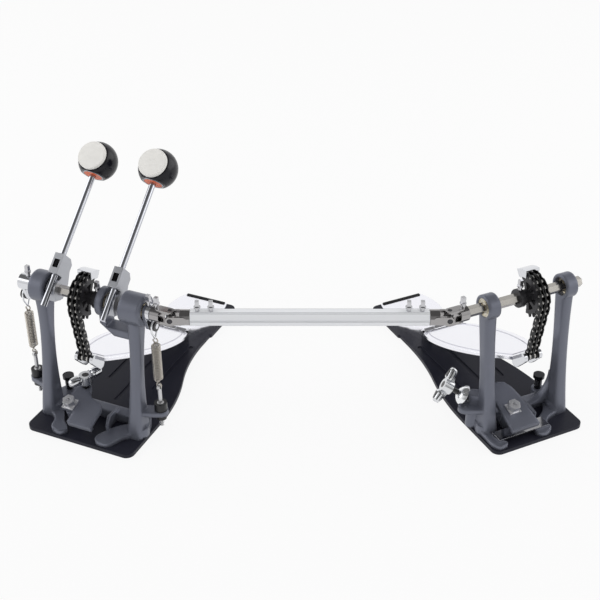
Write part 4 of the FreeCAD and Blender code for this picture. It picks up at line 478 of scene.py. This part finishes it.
def moulded_insert(colour):
    finish = Finish("insert_orange_plastic", colour, 0.0, (1500.0, 120.0, 500.0))
    finish.blotched(0.92, 1.08)
    return finish.rough(0.36, 0.5).grained(0.02 * MM, 0.5).done()


def dress(material, *names):
    """Give CAD nodes a material."""
    for name in names:
        mesh = NODES[name].data
        mesh.materials.clear()
        mesh.materials.append(material)


def both(*names):
    return [f"{side}_{name}" for side in ("primary", "slave") for name in names]


# Modelling helpers


def only(obj):
    bpy.ops.object.select_all(action="DESELECT")
    obj.select_set(True)
    bpy.context.view_layer.objects.active = obj


def start(name):
    """Name the object just added and make it the only one selected."""
    obj = bpy.context.object
    obj.name = name
    obj.data.name = name
    only(obj)
    return obj


def set_in():
    """Put the active object's place, turn and scale into its mesh."""
    bpy.ops.object.transform_apply(location=True, rotation=True, scale=True)


def settle(obj, material, body, turn, smooth=35):
    """Place a finished piece, put its place into its mesh and let it ride."""
    obj.matrix_world = turn @ obj.matrix_world
    only(obj)
    set_in()
    bpy.ops.object.shade_smooth_by_angle(angle=math.radians(smooth))
    obj.data.materials.clear()
    obj.data.materials.append(material)
    if body:
        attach(obj, body)
    return obj


def apply_modifier(obj, kind, name, **values):
    modifier = obj.modifiers.new(name, kind)
    for label, value in values.items():
        setattr(modifier, label, value)
    only(obj)
    bpy.ops.object.modifier_apply(modifier=modifier.name)


def rounded(obj, width, segments, angle=30):
    """Round the edges that turn by more than an angle in degrees."""
    apply_modifier(obj, "BEVEL", "rounding", width=width, segments=segments, limit_method="ANGLE",
                   angle_limit=math.radians(angle))


def turned(z, place, x):
    """A frame at place whose Z and X run along two directions."""
    turn = Matrix((x, z.cross(x), z)).transposed().to_4x4()
    turn.translation = place
    return turn


def edit(obj, action="SELECT"):
    """Enter edit mode with every face selected, or none."""
    only(obj)
    bpy.ops.object.mode_set(mode="EDIT")
    bpy.ops.mesh.select_mode(type="FACE")
    bpy.ops.mesh.select_all(action=action)


def leave():
    bpy.ops.object.mode_set(mode="OBJECT")


def pick_faces(obj, test):
    """Enter edit mode with the faces selected whose centre and normal pass a test."""
    edit(obj, "DESELECT")
    leave()
    for face in obj.data.polygons:
        face.select = test(face.center, face.normal)
    bpy.ops.object.mode_set(mode="EDIT")


def screw_thread(name, radius, tooth, pitch, turns, steps):
    """A thread that winds up the Z axis, closed at both ends."""
    bpy.ops.mesh.primitive_circle_add(vertices=4, radius=tooth, rotation=(math.pi / 2, 0, 0),
                                      location=(radius, 0, 0))
    obj = start(name)
    set_in()
    apply_modifier(obj, "SCREW", "thread", axis="Z", angle=2 * math.pi, screw_offset=pitch,
                   iterations=turns, steps=steps, render_steps=steps, use_normal_calculate=True)
    edit(obj)
    bpy.ops.mesh.fill_holes(sides=4)
    leave()
    return obj


# Springs and their tension rods


def ring(centre, radius, start_angle, sweep, count):
    """Points of an arc in the XZ plane."""
    points = []
    for index in range(count + 1):
        angle = start_angle + sweep * index / count
        points.append(centre + Vector((radius * math.cos(angle), 0, radius * math.sin(angle))))
    return points


def spring_path(top, foot, low_coil, high_coil, radius, turns, hook):
    """A coil with a hook above and below, in its own frame."""
    points = ring(Vector((0, 0, top - hook)), hook, math.radians(-200), math.radians(290), 12)
    points.reverse()
    points.append(Vector((-hook * 0.55, hook * 0.1, top - hook * 2.05)))
    points.append(Vector((radius * 0.1, -radius * 0.75, high_coil + hook * 0.25)))
    steps = 12
    for index in range(turns * steps + 1):
        angle = 2 * math.pi * index / steps - math.pi / 4
        height = high_coil + (low_coil - high_coil) * index / (turns * steps)
        points.append(Vector((radius * math.cos(angle), radius * math.sin(angle), height)))
    points.append(Vector((radius * 0.1, radius * 0.75, low_coil - hook * 0.25)))
    points.append(Vector((-hook * 0.55, hook * 0.1, foot + hook * 2.05)))
    points += ring(Vector((0, 0, foot + hook)), hook, math.radians(160), math.radians(290), 12)
    return points


def wire(name, points, radius):
    """A smooth wire along a line of points, as a mesh."""
    curve = bpy.data.curves.new(name, "CURVE")
    curve.dimensions = "3D"
    curve.bevel_depth = radius
    curve.bevel_resolution = 2
    curve.resolution_u = 2
    curve.use_fill_caps = True
    spline = curve.splines.new("NURBS")
    spline.points.add(len(points) - 1)
    for point, spot in zip(spline.points, points):
        point.co = (*spot, 1)
    spline.order_u = 4
    spline.use_endpoint_u = True
    obj = bpy.data.objects.new(name, curve)
    bpy.context.collection.objects.link(obj)
    only(obj)
    bpy.ops.object.convert(target="MESH")
    return start(name)


class PEDAL_OT_springs(bpy.types.Operator):
    """Wind the two extension springs and cut the tension rods' threads"""
    bl_idname = "pedal.springs"
    bl_label = "Springs"

    def execute(self, context):
        sizes = context.scene.pedal_sizes
        nickel = gunmetal("spring_nickel_wire", (0.46, 0.43, 0.39))
        steel = gunmetal("thread_bright_steel", (0.72, 0.72, 0.73))
        axis = axle_of("primary_kick")[0]
        for number in ("1", "2"):
            self.spring(number, axis, nickel, sizes)
        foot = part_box("spring_tensioners")[0].z
        for number in ("1", "2"):
            self.thread(number, foot, steel, sizes.thread_pitch)
        return {"FINISHED"}

    def spring(self, number, axis, material, sizes):
        low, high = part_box(f"spring_{number}")
        middle = (low + high) / 2
        hook = sizes.spring_hook
        lead = 2 * sizes.spring_wire + 1.25 * sizes.spring_coil
        heading = Matrix.Rotation(math.atan2(axis.y, axis.x), 4, "Z")
        turn = Matrix.Translation((middle.x, middle.y, 0)) @ heading
        points = spring_path(high.z + hook * 0.55, low.z - hook * 1.25, low.z + lead, high.z - lead,
                             sizes.spring_coil, sizes.spring_turns, hook)
        obj = wire(f"coil_spring_{number}", points, sizes.spring_wire)
        settle(obj, material, None, turn, smooth=60)
        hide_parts(f"spring_{number}")
        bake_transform(obj)

    def thread(self, number, foot, material, pitch):
        low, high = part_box(f"spring_{number}")
        middle = (low + high) / 2
        start_at = foot + 0.8 * MM
        obj = screw_thread(f"tension_thread_{number}", radius=2.42 * MM, tooth=0.42 * MM, pitch=pitch,
                           turns=12, steps=14)
        settle(obj, material, "primary_stand", Matrix.Translation((middle.x, middle.y, start_at)))


# Beaters


class PEDAL_OT_beaters(bpy.types.Operator):
    """Shape the felt faces and the round inserts, and finish heads, rods and hubs"""
    bl_idname = "pedal.beaters"
    bl_label = "Beaters"

    def execute(self, context):
        finish, sizes = context.scene.pedal_finish, context.scene.pedal_sizes
        felt = pressed_felt(finish.felt_white)
        orange = moulded_insert(finish.insert_orange)
        ring_metal = chrome("insert_ring_satin", (0.30, 0.31, 0.33), 0.28, 0.4)
        gloss = moulded_black("head_gloss_black", 0.2, 0.3, (0.005, 0.005, 0.009))
        dress(gloss, "beater_head_1", "beater_head_2")
        dress(polished_rod(), "beater_rod_1", "beater_rod_2")
        for number in ("1", "2"):
            dress(bare_cast(finish.hub_grey, number), f"beater_hub_{number}")
            self.felt(number, felt)
            self.insert(number, orange, ring_metal, sizes.insert_radius)
        return {"FINISHED"}

    def span(self, node, axis):
        """The lowest and highest place of a node along an axis."""
        levels = [vertex.co.dot(axis) for vertex in NODES[node].data.vertices]
        return min(levels), max(levels)

    def felt(self, number, material):
        lines = beater_lines(number)
        rod, strike = lines[1:]
        spans = [self.span(f"beater_felt_{number}", line) for line in lines]
        middle = sum((line * (low + high) / 2 for line, (low, high) in zip(lines, spans)), Vector())
        radius, depth = (spans[0][1] - spans[0][0]) / 2, spans[2][1] - spans[2][0]
        bpy.ops.mesh.primitive_cylinder_add(vertices=64, radius=radius, depth=depth, end_fill_type="NGON")
        obj = start(f"felt_face_{number}")
        rim, step, rounding = 1.2 * MM, 0.18 * MM, 1.5 * MM
        pick_faces(obj, lambda centre, normal: normal.z > 0.9)
        bpy.ops.mesh.inset(thickness=rim, depth=0)
        for share in (0.15, 0.18, 0.21, 0.24):
            bpy.ops.mesh.inset(thickness=radius * share, depth=step)
        leave()
        rounded(obj, rounding, segments=4, angle=40)
        apply_modifier(obj, "TRIANGULATE", "even")
        apply_modifier(obj, "SUBSURF", "soften", subdivision_type="SIMPLE", levels=2, render_levels=2)
        fuzz = bpy.data.textures.new(f"wool_{number}", "CLOUDS")
        fuzz.noise_scale = 1.1 * MM
        apply_modifier(obj, "DISPLACE", "wool", texture=fuzz, strength=0.22 * MM, mid_level=0.8)
        settle(obj, material, f"beater_{number}", turned(strike, middle, rod.cross(strike)))
        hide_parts(f"beater_felt_{number}")

    def insert(self, number, orange, metal, radius):
        """The round insert under a head, with a hole for the rod, and the ring about it."""
        rod, strike = beater_lines(number)[1:]
        seat = self.seat(number, rod)
        hole, gap, ring_width = 3.75 * MM, 0.05 * MM, 2.0 * MM
        for name, inner, outer, height, material in (
                ("insert_disc", hole, radius, 0.9 * MM, orange),
                ("insert_ring", radius + gap, radius + ring_width, 1.1 * MM, metal)):
            bpy.ops.mesh.primitive_circle_add(vertices=64, radius=outer, fill_type="NOTHING")
            obj = start(f"{name}_{number}")
            bpy.ops.object.mode_set(mode="EDIT")
            bpy.ops.mesh.select_all(action="SELECT")
            bpy.ops.mesh.extrude_edges_move()
            share = inner / outer
            bpy.ops.transform.resize(value=(share, share, 1))
            bpy.ops.mesh.select_all(action="SELECT")
            bpy.ops.mesh.normals_make_consistent(inside=False)
            leave()
            apply_modifier(obj, "SOLIDIFY", "thick", thickness=height, offset=0)
            rounded(obj, 0.3 * MM, segments=2)
            settle(obj, material, f"beater_{number}", turned(rod, seat, strike.cross(rod)))

    def seat(self, number, rod):
        """The middle of the flat under a head, where the rod goes in."""
        heads = NODES[f"beater_head_{number}"].data.vertices
        level = min(vertex.co.dot(rod) for vertex in heads)
        flat = [vertex.co for vertex in heads if vertex.co.dot(rod) < level + 0.05 * MM]
        low = Vector([min(co[index] for co in flat) for index in range(3)])
        high = Vector([max(co[index] for co in flat) for index in range(3)])
        return (low + high) / 2


# Frames, chains, footboards, drive shaft and fasteners


class PEDAL_OT_frames(bpy.types.Operator):
    """Finish the cast frames, base plates and bearings, and add the slave frame's web"""
    bl_idname = "pedal.frames"
    bl_label = "Frames"

    def execute(self, context):
        finish = context.scene.pedal_finish
        paint = cast_paint(finish.cast_grey)
        dress(paint, *both("frame", "clamp_plate"))
        self.web(paint)
        dress(plate_coat(finish.plate_black), *both("base_plate"))
        dress(self.bearing(), *both("bearings"))
        return {"FINISHED"}

    def web(self, material):
        """The hollow-curved web between the slave frame's bridge and its outer post."""
        axis, centre = axle_of("slave_kick")
        axis = axis.normalized()
        start_at, back, foot = 13 * MM, -0.5 * MM, 13 * MM
        reach, height, thickness = 33 * MM, 42 * MM, 8 * MM
        wall, sole = 1.5 * MM, 4 * MM
        bpy.ops.mesh.primitive_cylinder_add(vertices=96, radius=1, depth=5 * thickness,
                                            rotation=(math.pi / 2, 0, 0),
                                            location=(start_at, back, foot + height))
        hollow = start("web_hollow")
        bpy.ops.object.transform_apply(location=False, rotation=True, scale=False)
        hollow.scale = (reach - wall, 1, height - sole)
        set_in()
        bpy.ops.mesh.primitive_cube_add(size=1, scale=(reach, thickness, height),
                                        location=(start_at + reach / 2, back, foot + height / 2))
        obj = start("slave_frame_web")
        set_in()
        apply_modifier(obj, "BOOLEAN", "sweep", operation="DIFFERENCE", object=hollow)
        bpy.data.objects.remove(hollow)
        rounded(obj, 1.2 * MM, segments=3, angle=40)
        settle(obj, material, "slave_stand", turned(UP, (centre.x, centre.y, 0), axis))

    def bearing(self):
        finish = Finish("bearing_turned_steel", (0.60, 0.56, 0.47), 1.0, (1500.0, 90.0, 300.0))
        finish.blotched(0.8, 1.15)
        return finish.rough(0.18, 0.32).edged(0.3 * MM).grained(0.02 * MM, 0.4).done()


class PEDAL_OT_chains(bpy.types.Operator):
    """Finish the chains, sprockets and chain clips"""
    bl_idname = "pedal.chains"
    bl_label = "Chains"

    def execute(self, context):
        for side in ("primary", "slave"):
            dress(black_oxide(side, False), f"{side}_chain_link_1", f"{side}_chain_link_2",
                  f"{side}_chain_run")
            dress(black_oxide(side, True), f"{side}_sprocket")
        dress(chrome("clip_polished"), *both("chain_clip"))
        return {"FINISHED"}


class PEDAL_OT_boards(bpy.types.Operator):
    """Finish the footboards, heel plates and toe clevises, and add heel strips and tread lines"""
    bl_idname = "pedal.boards"
    bl_label = "Footboards"

    def execute(self, context):
        dress(self.board(), *both("footboard", "heel_plate"))
        dress(chrome("clevis_polished"), *both("toe_clevis"))
        rubber = moulded_black("heel_strip_rubber", 0.5, 0.65)
        # The bead is satin, a real finish, and its tint is darker than the board's as painted shade that
        # lets the tread line show.
        bead = chrome("tread_bead_satin", (0.60, 0.60, 0.66), 0.30, 0.42)
        for side in ("primary", "slave"):
            self.heel_strip(side, rubber)
            self.bead(side, bead)
        return {"FINISHED"}

    def bead(self, side, material):
        """A fine line that follows the edge of the tread, a little inside it."""
        mesh = NODES[f"{side}_footboard"].data.copy()
        obj = bpy.data.objects.new(f"{side}_tread_bead", mesh)
        bpy.context.collection.objects.link(obj)
        margin, width, height = 6.0 * MM, 1.3 * MM, 0.7 * MM
        widest = max(mesh.polygons, key=lambda face: face.area * (face.normal.z > 0.5))
        tread, top = widest.normal.copy(), widest.center.dot(widest.normal)
        edit(obj)
        bpy.ops.mesh.remove_doubles(threshold=0.01 * MM)
        leave()
        pick_faces(obj, lambda centre, normal: normal.dot(tread) < 0.99 or
                   abs(centre.dot(tread) - top) > 0.3 * MM)
        bpy.ops.mesh.delete(type="FACE")
        bpy.ops.mesh.select_all(action="SELECT")
        bpy.ops.mesh.dissolve_limited(angle_limit=math.radians(0.5))
        bpy.ops.mesh.inset(thickness=margin)
        bpy.ops.mesh.select_all(action="INVERT")
        bpy.ops.mesh.delete(type="FACE")
        bpy.ops.mesh.select_all(action="SELECT")
        bpy.ops.mesh.inset(thickness=width)
        bpy.ops.mesh.delete(type="FACE")
        leave()
        apply_modifier(obj, "SOLIDIFY", "thick", thickness=height, offset=0)
        settle(obj, material, f"{side}_board", Matrix())

    def board(self):
        finish = Finish("board_polished_aluminium", (0.90, 0.90, 0.95), 1.0, (1600.0, 26.0, 300.0))
        finish.blotched(0.975, 1.02).masked(finish.grain.outputs["Scuff"], (0.86, 0.86, 0.91))
        return finish.rough(0.14, 0.20).edged(0.6 * MM).grained(0.004 * MM, 0.25).done()

    def heel_strip(self, side, material):
        """A rubber strip along the rear edge of the heel plate."""
        axis = axle_of(f"{side}_treadle")[0].normalized()
        depth, height, short, rounding = 4.6 * MM, 2.6 * MM, 4 * MM, 1.1 * MM
        margin, lift = 2.2 * MM, 0.6 * MM
        back = UP.cross(axis)
        back = back if back.y > 0 else -back
        places = [vertex.co for vertex in NODES[f"{side}_heel_plate"].data.vertices]
        rear = max(place.dot(back) for place in places)
        edge = [place for place in places if place.dot(back) > rear - 0.5 * MM]
        top = max(place.z for place in edge)
        left, right = (find(place.dot(axis) for place in edge) for find in (min, max))
        bpy.ops.mesh.primitive_cube_add(size=1, scale=(right - left - short, depth, height))
        obj = start(f"{side}_heel_strip")
        set_in()
        rounded(obj, rounding, segments=4)
        place = axis * ((left + right) / 2) + back * (rear - margin) + UP * (top + lift)
        settle(obj, material, f"{side}_stand", turned(UP, place, axis))


class PEDAL_OT_drive(bpy.types.Operator):
    """Finish the shafts, universal joints and drive tube"""
    bl_idname = "pedal.drive"
    bl_label = "Drive shaft"

    def execute(self, context):
        dress(drawn_aluminium(context.scene.pedal_finish.tube_silver), "drive_tube")
        dress(chrome("joint_polished", (0.36, 0.35, 0.35), 0.10, 0.18), "drive_rod_a", "drive_rod_b",
              "slave_hub_yoke", "primary_hub_yoke")
        dress(gunmetal("cross_dark_steel", (0.06, 0.06, 0.066)), "drive_cross_a", "drive_cross_b")
        dress(chrome("shaft_bright_steel", (0.48, 0.46, 0.43), 0.16, 0.24), "main_shaft", "aux_shaft",
              "slave_shaft")
        dress(chrome("rocker_polished"), "outer_rocker", "inner_rocker")
        return {"FINISHED"}


class PEDAL_OT_fasteners(bpy.types.Operator):
    """Finish the screws, clamps, stirrups and tension rods, and add grips and spur threads"""
    bl_idname = "pedal.fasteners"
    bl_label = "Fasteners"

    def execute(self, context):
        dress(chrome("fastener_bright", BRIGHT_STEEL), "slave_shaft_screws", "drive_tube_screws",
              "slave_clamp_jaw")
        dress(chrome("bolt_satin_steel", (0.78, 0.78, 0.80), 0.30, 0.40), *both("clamp_bolt"))
        for number, node in (("1", "main_shaft_screws"), ("2", "aux_shaft_screws")):
            dress(self.shaft_screws(number), node)
            dress(self.stirrup(number), f"stirrup_{number}")
        for joint, node in (("primary_knob_turn", "primary_clamp_knob"),
                            ("slave_wing_turn", "slave_clamp_wing")):
            plated = self.thumb_screw(joint)
            dress(plated, node)
            self.lobes(joint, node, plated)
        dress(self.nuts_and_rods(), "spring_tensioners")
        spur = gunmetal("spur_black_steel", (0.05, 0.05, 0.055))
        dress(spur, "primary_fasteners")
        dress(self.spur_and_cup(), "slave_fasteners")
        for side in ("primary", "slave"):
            self.spur_thread(side, spur)
        return {"FINISHED"}

    def shaft_screws(self, number):
        """Bright key screws, and painted shade (dark) over the one sunk in the beater hub's pocket."""
        finish = Finish(f"shaft_{number}_screw_bright", BRIGHT_STEEL, 1.0, (2200.0, 50.0, 320.0))
        axis, *_, spot = hub_pocket(number)
        # Painted shade: the screw sunk in the hub's pocket is painted dark, as the shade in that pocket.
        finish.blotched(0.95, 1.03).masked(finish.within(axis, spot, 4 * MM), (0.03, 0.03, 0.034))
        return finish.rough(0.09, 0.18).edged(0.4 * MM).done()

    def stirrup(self, number):
        """A bright wire loop over a black bush."""
        axis, pin = axle_of(f"stirrup_{number}_swing")
        finish = Finish(f"stirrup_{number}_wire", (0.80, 0.81, 0.83), 1.0, (2000.0, 60.0, 300.0))
        wire_here = finish.within(axis, pin, 1.3 * MM)
        finish.blotched(0.92, 1.04).metal_where(wire_here, 0.0, 1.0)
        finish.colour = finish.mixed(wire_here, (0.011, 0.011, 0.012), finish.colour)
        return finish.rough(0.12, 0.24).grained(0.01 * MM, 0.3).done()

    def lobes(self, joint, node, material):
        """The two rounded grips over a thumb screw's wings."""
        axis, seat = axle_of(joint)
        axis = axis.normalized()
        size, taper, rounding = (16 * MM, 13 * MM, 11.2 * MM), (1, 0.78, 0.82), 4.4 * MM
        middle, wing_end = 15 * MM, 19 * MM
        places = [vertex.co - seat for vertex in NODES[node].data.vertices]
        far = [place for place in places if place.cross(axis).length > wing_end]
        levels = [place.dot(axis) for place in far]
        level = (min(levels) + max(levels)) / 2
        out = [place - axis * place.dot(axis) for place in far]
        side = sum((place for place in out if place.dot(out[0]) > 0), Vector()).normalized()
        body = joint.removesuffix("_turn")
        for number, way in (("1", side), ("2", -side)):
            bpy.ops.mesh.primitive_cube_add(size=1, scale=size)
            obj = start(f"{body}_lobe_{number}")
            set_in()
            pick_faces(obj, lambda centre, normal: normal.x > 0.9)
            bpy.ops.transform.resize(value=taper)
            leave()
            rounded(obj, rounding, segments=5)
            settle(obj, material, body, turned(axis, seat + axis * level + way * middle, way))

    def spur_thread(self, side, material):
        """The coarse thread of a floor spur."""
        shank = [vertex.co for vertex in NODES[f"{side}_fasteners"].data.vertices]
        low = min(place.z for place in shank)
        tip = [place for place in shank if place.z < low + 0.1 * MM]
        middle = sum(tip, Vector()) / len(tip)
        start_at = low + 18.5 * MM
        obj = screw_thread(f"{side}_spur_thread", radius=4.0 * MM, tooth=0.85 * MM, pitch=2.0 * MM,
                           turns=6, steps=20)
        settle(obj, material, f"{side}_stand", Matrix.Translation((middle.x, middle.y, start_at)))

    def thumb_screw(self, joint):
        """Plated wings with black inlaid lines, on a black moulded middle."""
        axis, seat = axle_of(joint)
        middle, line_from, line_to = 4.2 * MM, 10.5 * MM, 20 * MM
        finish = Finish(f"{joint}_plated", (0.70, 0.71, 0.73), 1.0, (2000.0, 60.0, 300.0))
        reach = finish.reach(axis, seat)
        step = finish.math("PINGPONG", finish.along(axis, seat), 1.7 * MM)
        line = finish.all_of(finish.beyond(step, 1.15 * MM), finish.beyond(reach, line_from),
                             finish.below(reach, line_to))
        wing = finish.math("SUBTRACT", finish.beyond(reach, middle), line)
        finish.blotched(0.95, 1.03).metal_where(wing, 0.0, 1.0)
        finish.colour = finish.mixed(wing, BLACK_PLASTIC_AND_POCKET_SHADE, finish.colour)
        return finish.rough(0.08, 0.18).edged(0.8 * MM).grained(0.008 * MM, 0.3).done()

    def spur_and_cup(self):
        """A black spur, and the plated cup under the slave's thumb screw."""
        seat, cup_reach = axle_of("slave_wing_turn")[1], 16 * MM
        finish = Finish("slave_spur_and_cup", (0.05, 0.05, 0.055), 0.97, (1700.0, 70.0, 300.0))
        cup = finish.below(finish.vector("DISTANCE", finish.position(), seat), cup_reach)
        finish.blotched(0.9, 1.1).masked(cup, (0.86, 0.87, 0.89))
        return finish.rough(0.10, 0.22).edged(0.4 * MM).grained(0.008 * MM, 0.3).done()

    def nuts_and_rods(self):
        """Black knurled nuts on bright rods, told apart by the distance from each rod."""
        finish = Finish("tension_nut_black", (0.60, 0.60, 0.61), 0.9, (1700.0, 70.0, 300.0))
        near = None
        for number in ("1", "2"):
            low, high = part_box(f"spring_{number}")
            middle = (low + high) / 2
            flat = finish.vector("MULTIPLY", finish.position(), (1, 1, 0))
            reach = finish.vector("DISTANCE", flat, (middle.x, middle.y, 0))
            near = reach if near is None else finish.math("MINIMUM", near, reach)
        nut = finish.beyond(near, 4.0 * MM)
        finish.masked(nut, (0.010, 0.010, 0.012)).metal_where(nut, 0.9, 0.1)
        return finish.rough(0.26, 0.4).edged(0.3 * MM).grained(0.02 * MM, 0.4).done()


# Stage


class PEDAL_OT_stage(bpy.types.Operator):
    """Set the floor, the soft light and the camera"""
    bl_idname = "pedal.stage"
    bl_label = "Stage"

    def execute(self, context):
        stage = context.scene.pedal_stage
        self.floor()
        self.sky(stage.sky, stage.ceiling, stage.front)
        self.lamp("left_lamp", -1.8, stage.key_power)
        self.lamp("right_lamp", 1.8, stage.key_power * 0.9)
        self.camera(stage.lens)
        context.scene.view_settings.view_transform = "Standard"
        return {"FINISHED"}

    def floor(self):
        bpy.ops.mesh.primitive_plane_add(size=12, location=(0, 0, -0.0005))
        floor = start("studio_floor")
        set_in()
        material = bpy.data.materials.new("floor_white")
        material.use_nodes = True
        nodes, links = material.node_tree.nodes, material.node_tree.links
        nodes.clear()
        grey, seen_share = 0.86, 0.88
        paper = nodes.new("ShaderNodeBsdfDiffuse")
        paper.inputs["Color"].default_value = (grey, grey, grey, 1)
        glow = nodes.new("ShaderNodeEmission")
        glow.inputs["Strength"].default_value = 1.0
        mix = nodes.new("ShaderNodeMixShader")
        links.new(self.seen(nodes, links, seen_share), mix.inputs[0])
        links.new(paper.outputs[0], mix.inputs[1])
        links.new(glow.outputs[0], mix.inputs[2])
        out = nodes.new("ShaderNodeOutputMaterial")
        links.new(mix.outputs[0], out.inputs["Surface"])
        floor.data.materials.append(material)

    def seen(self, nodes, links, share):
        """A share for what the eye, a mirror or glass sees, and none for the light itself."""
        rays = nodes.new("ShaderNodeLightPath").outputs
        either = math_node(nodes, links, "MAXIMUM", rays["Is Camera Ray"], rays["Is Glossy Ray"])
        either = math_node(nodes, links, "MAXIMUM", either, rays["Is Transmission Ray"])
        return math_node(nodes, links, "MULTIPLY", either, share)

    def sky(self, strength, ceiling, front):
        """A white room, which metal sees dimmer overhead and in front, and its soft light."""
        world = bpy.data.worlds.new("studio_sky")
        bpy.context.scene.world = world
        world.use_nodes = True
        nodes, links = world.node_tree.nodes, world.node_tree.links
        nodes.clear()
        place = nodes.new("ShaderNodeTexCoord")
        split = nodes.new("ShaderNodeSeparateXYZ")
        links.new(place.outputs["Generated"], split.inputs[0])
        light = nodes.new("ShaderNodeBackground")
        light.inputs["Strength"].default_value = strength
        white = nodes.new("ShaderNodeBackground")
        white.inputs["Color"].default_value = (1, 1, 1, 1)
        over = ranged(nodes, links, split.outputs["Z"], 0.45, 0.72, 1.0, ceiling)
        ahead = ranged(nodes, links, split.outputs["Y"], -0.85, -0.40, front, 1.0)
        room = math_node(nodes, links, "MINIMUM", over, ahead)
        eye = nodes.new("ShaderNodeLightPath").outputs["Is Camera Ray"]
        links.new(math_node(nodes, links, "MAXIMUM", room, eye), white.inputs["Strength"])
        mix = nodes.new("ShaderNodeMixShader")
        links.new(self.seen(nodes, links, 1.0), mix.inputs[0])
        links.new(light.outputs[0], mix.inputs[1])
        links.new(white.outputs[0], mix.inputs[2])
        out = nodes.new("ShaderNodeOutputWorld")
        links.new(mix.outputs[0], out.inputs["Surface"])

    def aim(self, obj, place, target):
        obj.rotation_euler = (target - place).to_track_quat("-Z", "Y").to_euler()

    def lamp(self, name, side, power):
        """A large lamp on one side, turned to the middle of the pedal."""
        place = Vector((side, 0.25, 0.95))
        bpy.ops.object.light_add(type="AREA", location=place)
        lamp = bpy.context.object
        lamp.name = name
        lamp.data.shape = "RECTANGLE"
        lamp.data.size, lamp.data.size_y = 2.2, 1.4
        lamp.data.energy = power
        self.aim(lamp, place, Vector((0, 0, 0.15)))

    def camera(self, lens):
        target = Vector((-4.5, -0.1, 106.2)) * MM
        place = Vector((-4.5, -1176.1, 843.0)) * MM
        bpy.ops.object.camera_add(location=place)
        camera = bpy.context.object
        camera.name = "photo_camera"
        camera.data.lens = lens
        camera.data.sensor_width = 36
        self.aim(camera, place, target)
        bpy.context.scene.camera = camera


class PEDAL_PT_panel(bpy.types.Panel):
    """Lists the pedal's pieces and settings"""
    bl_idname = "PEDAL_PT_panel"
    bl_label = "Drum pedal"
    bl_space_type = "VIEW_3D"
    bl_region_type = "UI"
    bl_category = "Pedal"

    def draw(self, context):
        for operator in OPERATORS:
            self.layout.operator(operator.bl_idname)
        for name, group in GROUPS.items():
            for label in group.__annotations__:
                self.layout.prop(getattr(context.scene, name), label)


OPERATORS = (PEDAL_OT_frames, PEDAL_OT_chains, PEDAL_OT_boards, PEDAL_OT_drive, PEDAL_OT_fasteners,
             PEDAL_OT_beaters, PEDAL_OT_springs, PEDAL_OT_stage)
GROUPS = {"pedal_finish": PedalFinish, "pedal_sizes": PedalSizes, "pedal_stage": PedalStage}


def register():
    for item in (*GROUPS.values(), *OPERATORS, PEDAL_PT_panel):
        bpy.utils.register_class(item)
    for label, group in GROUPS.items():
        setattr(bpy.types.Scene, label, bpy.props.PointerProperty(type=group))


def unregister():
    for label in GROUPS:
        delattr(bpy.types.Scene, label)
    for item in reversed((*GROUPS.values(), *OPERATORS, PEDAL_PT_panel)):
        bpy.utils.unregister_class(item)


def main():
    register()
    for operator in OPERATORS:
        group, name = operator.bl_idname.split(".")
        getattr(getattr(bpy.ops, group), name)()


if __name__ == "__main__":
    main()
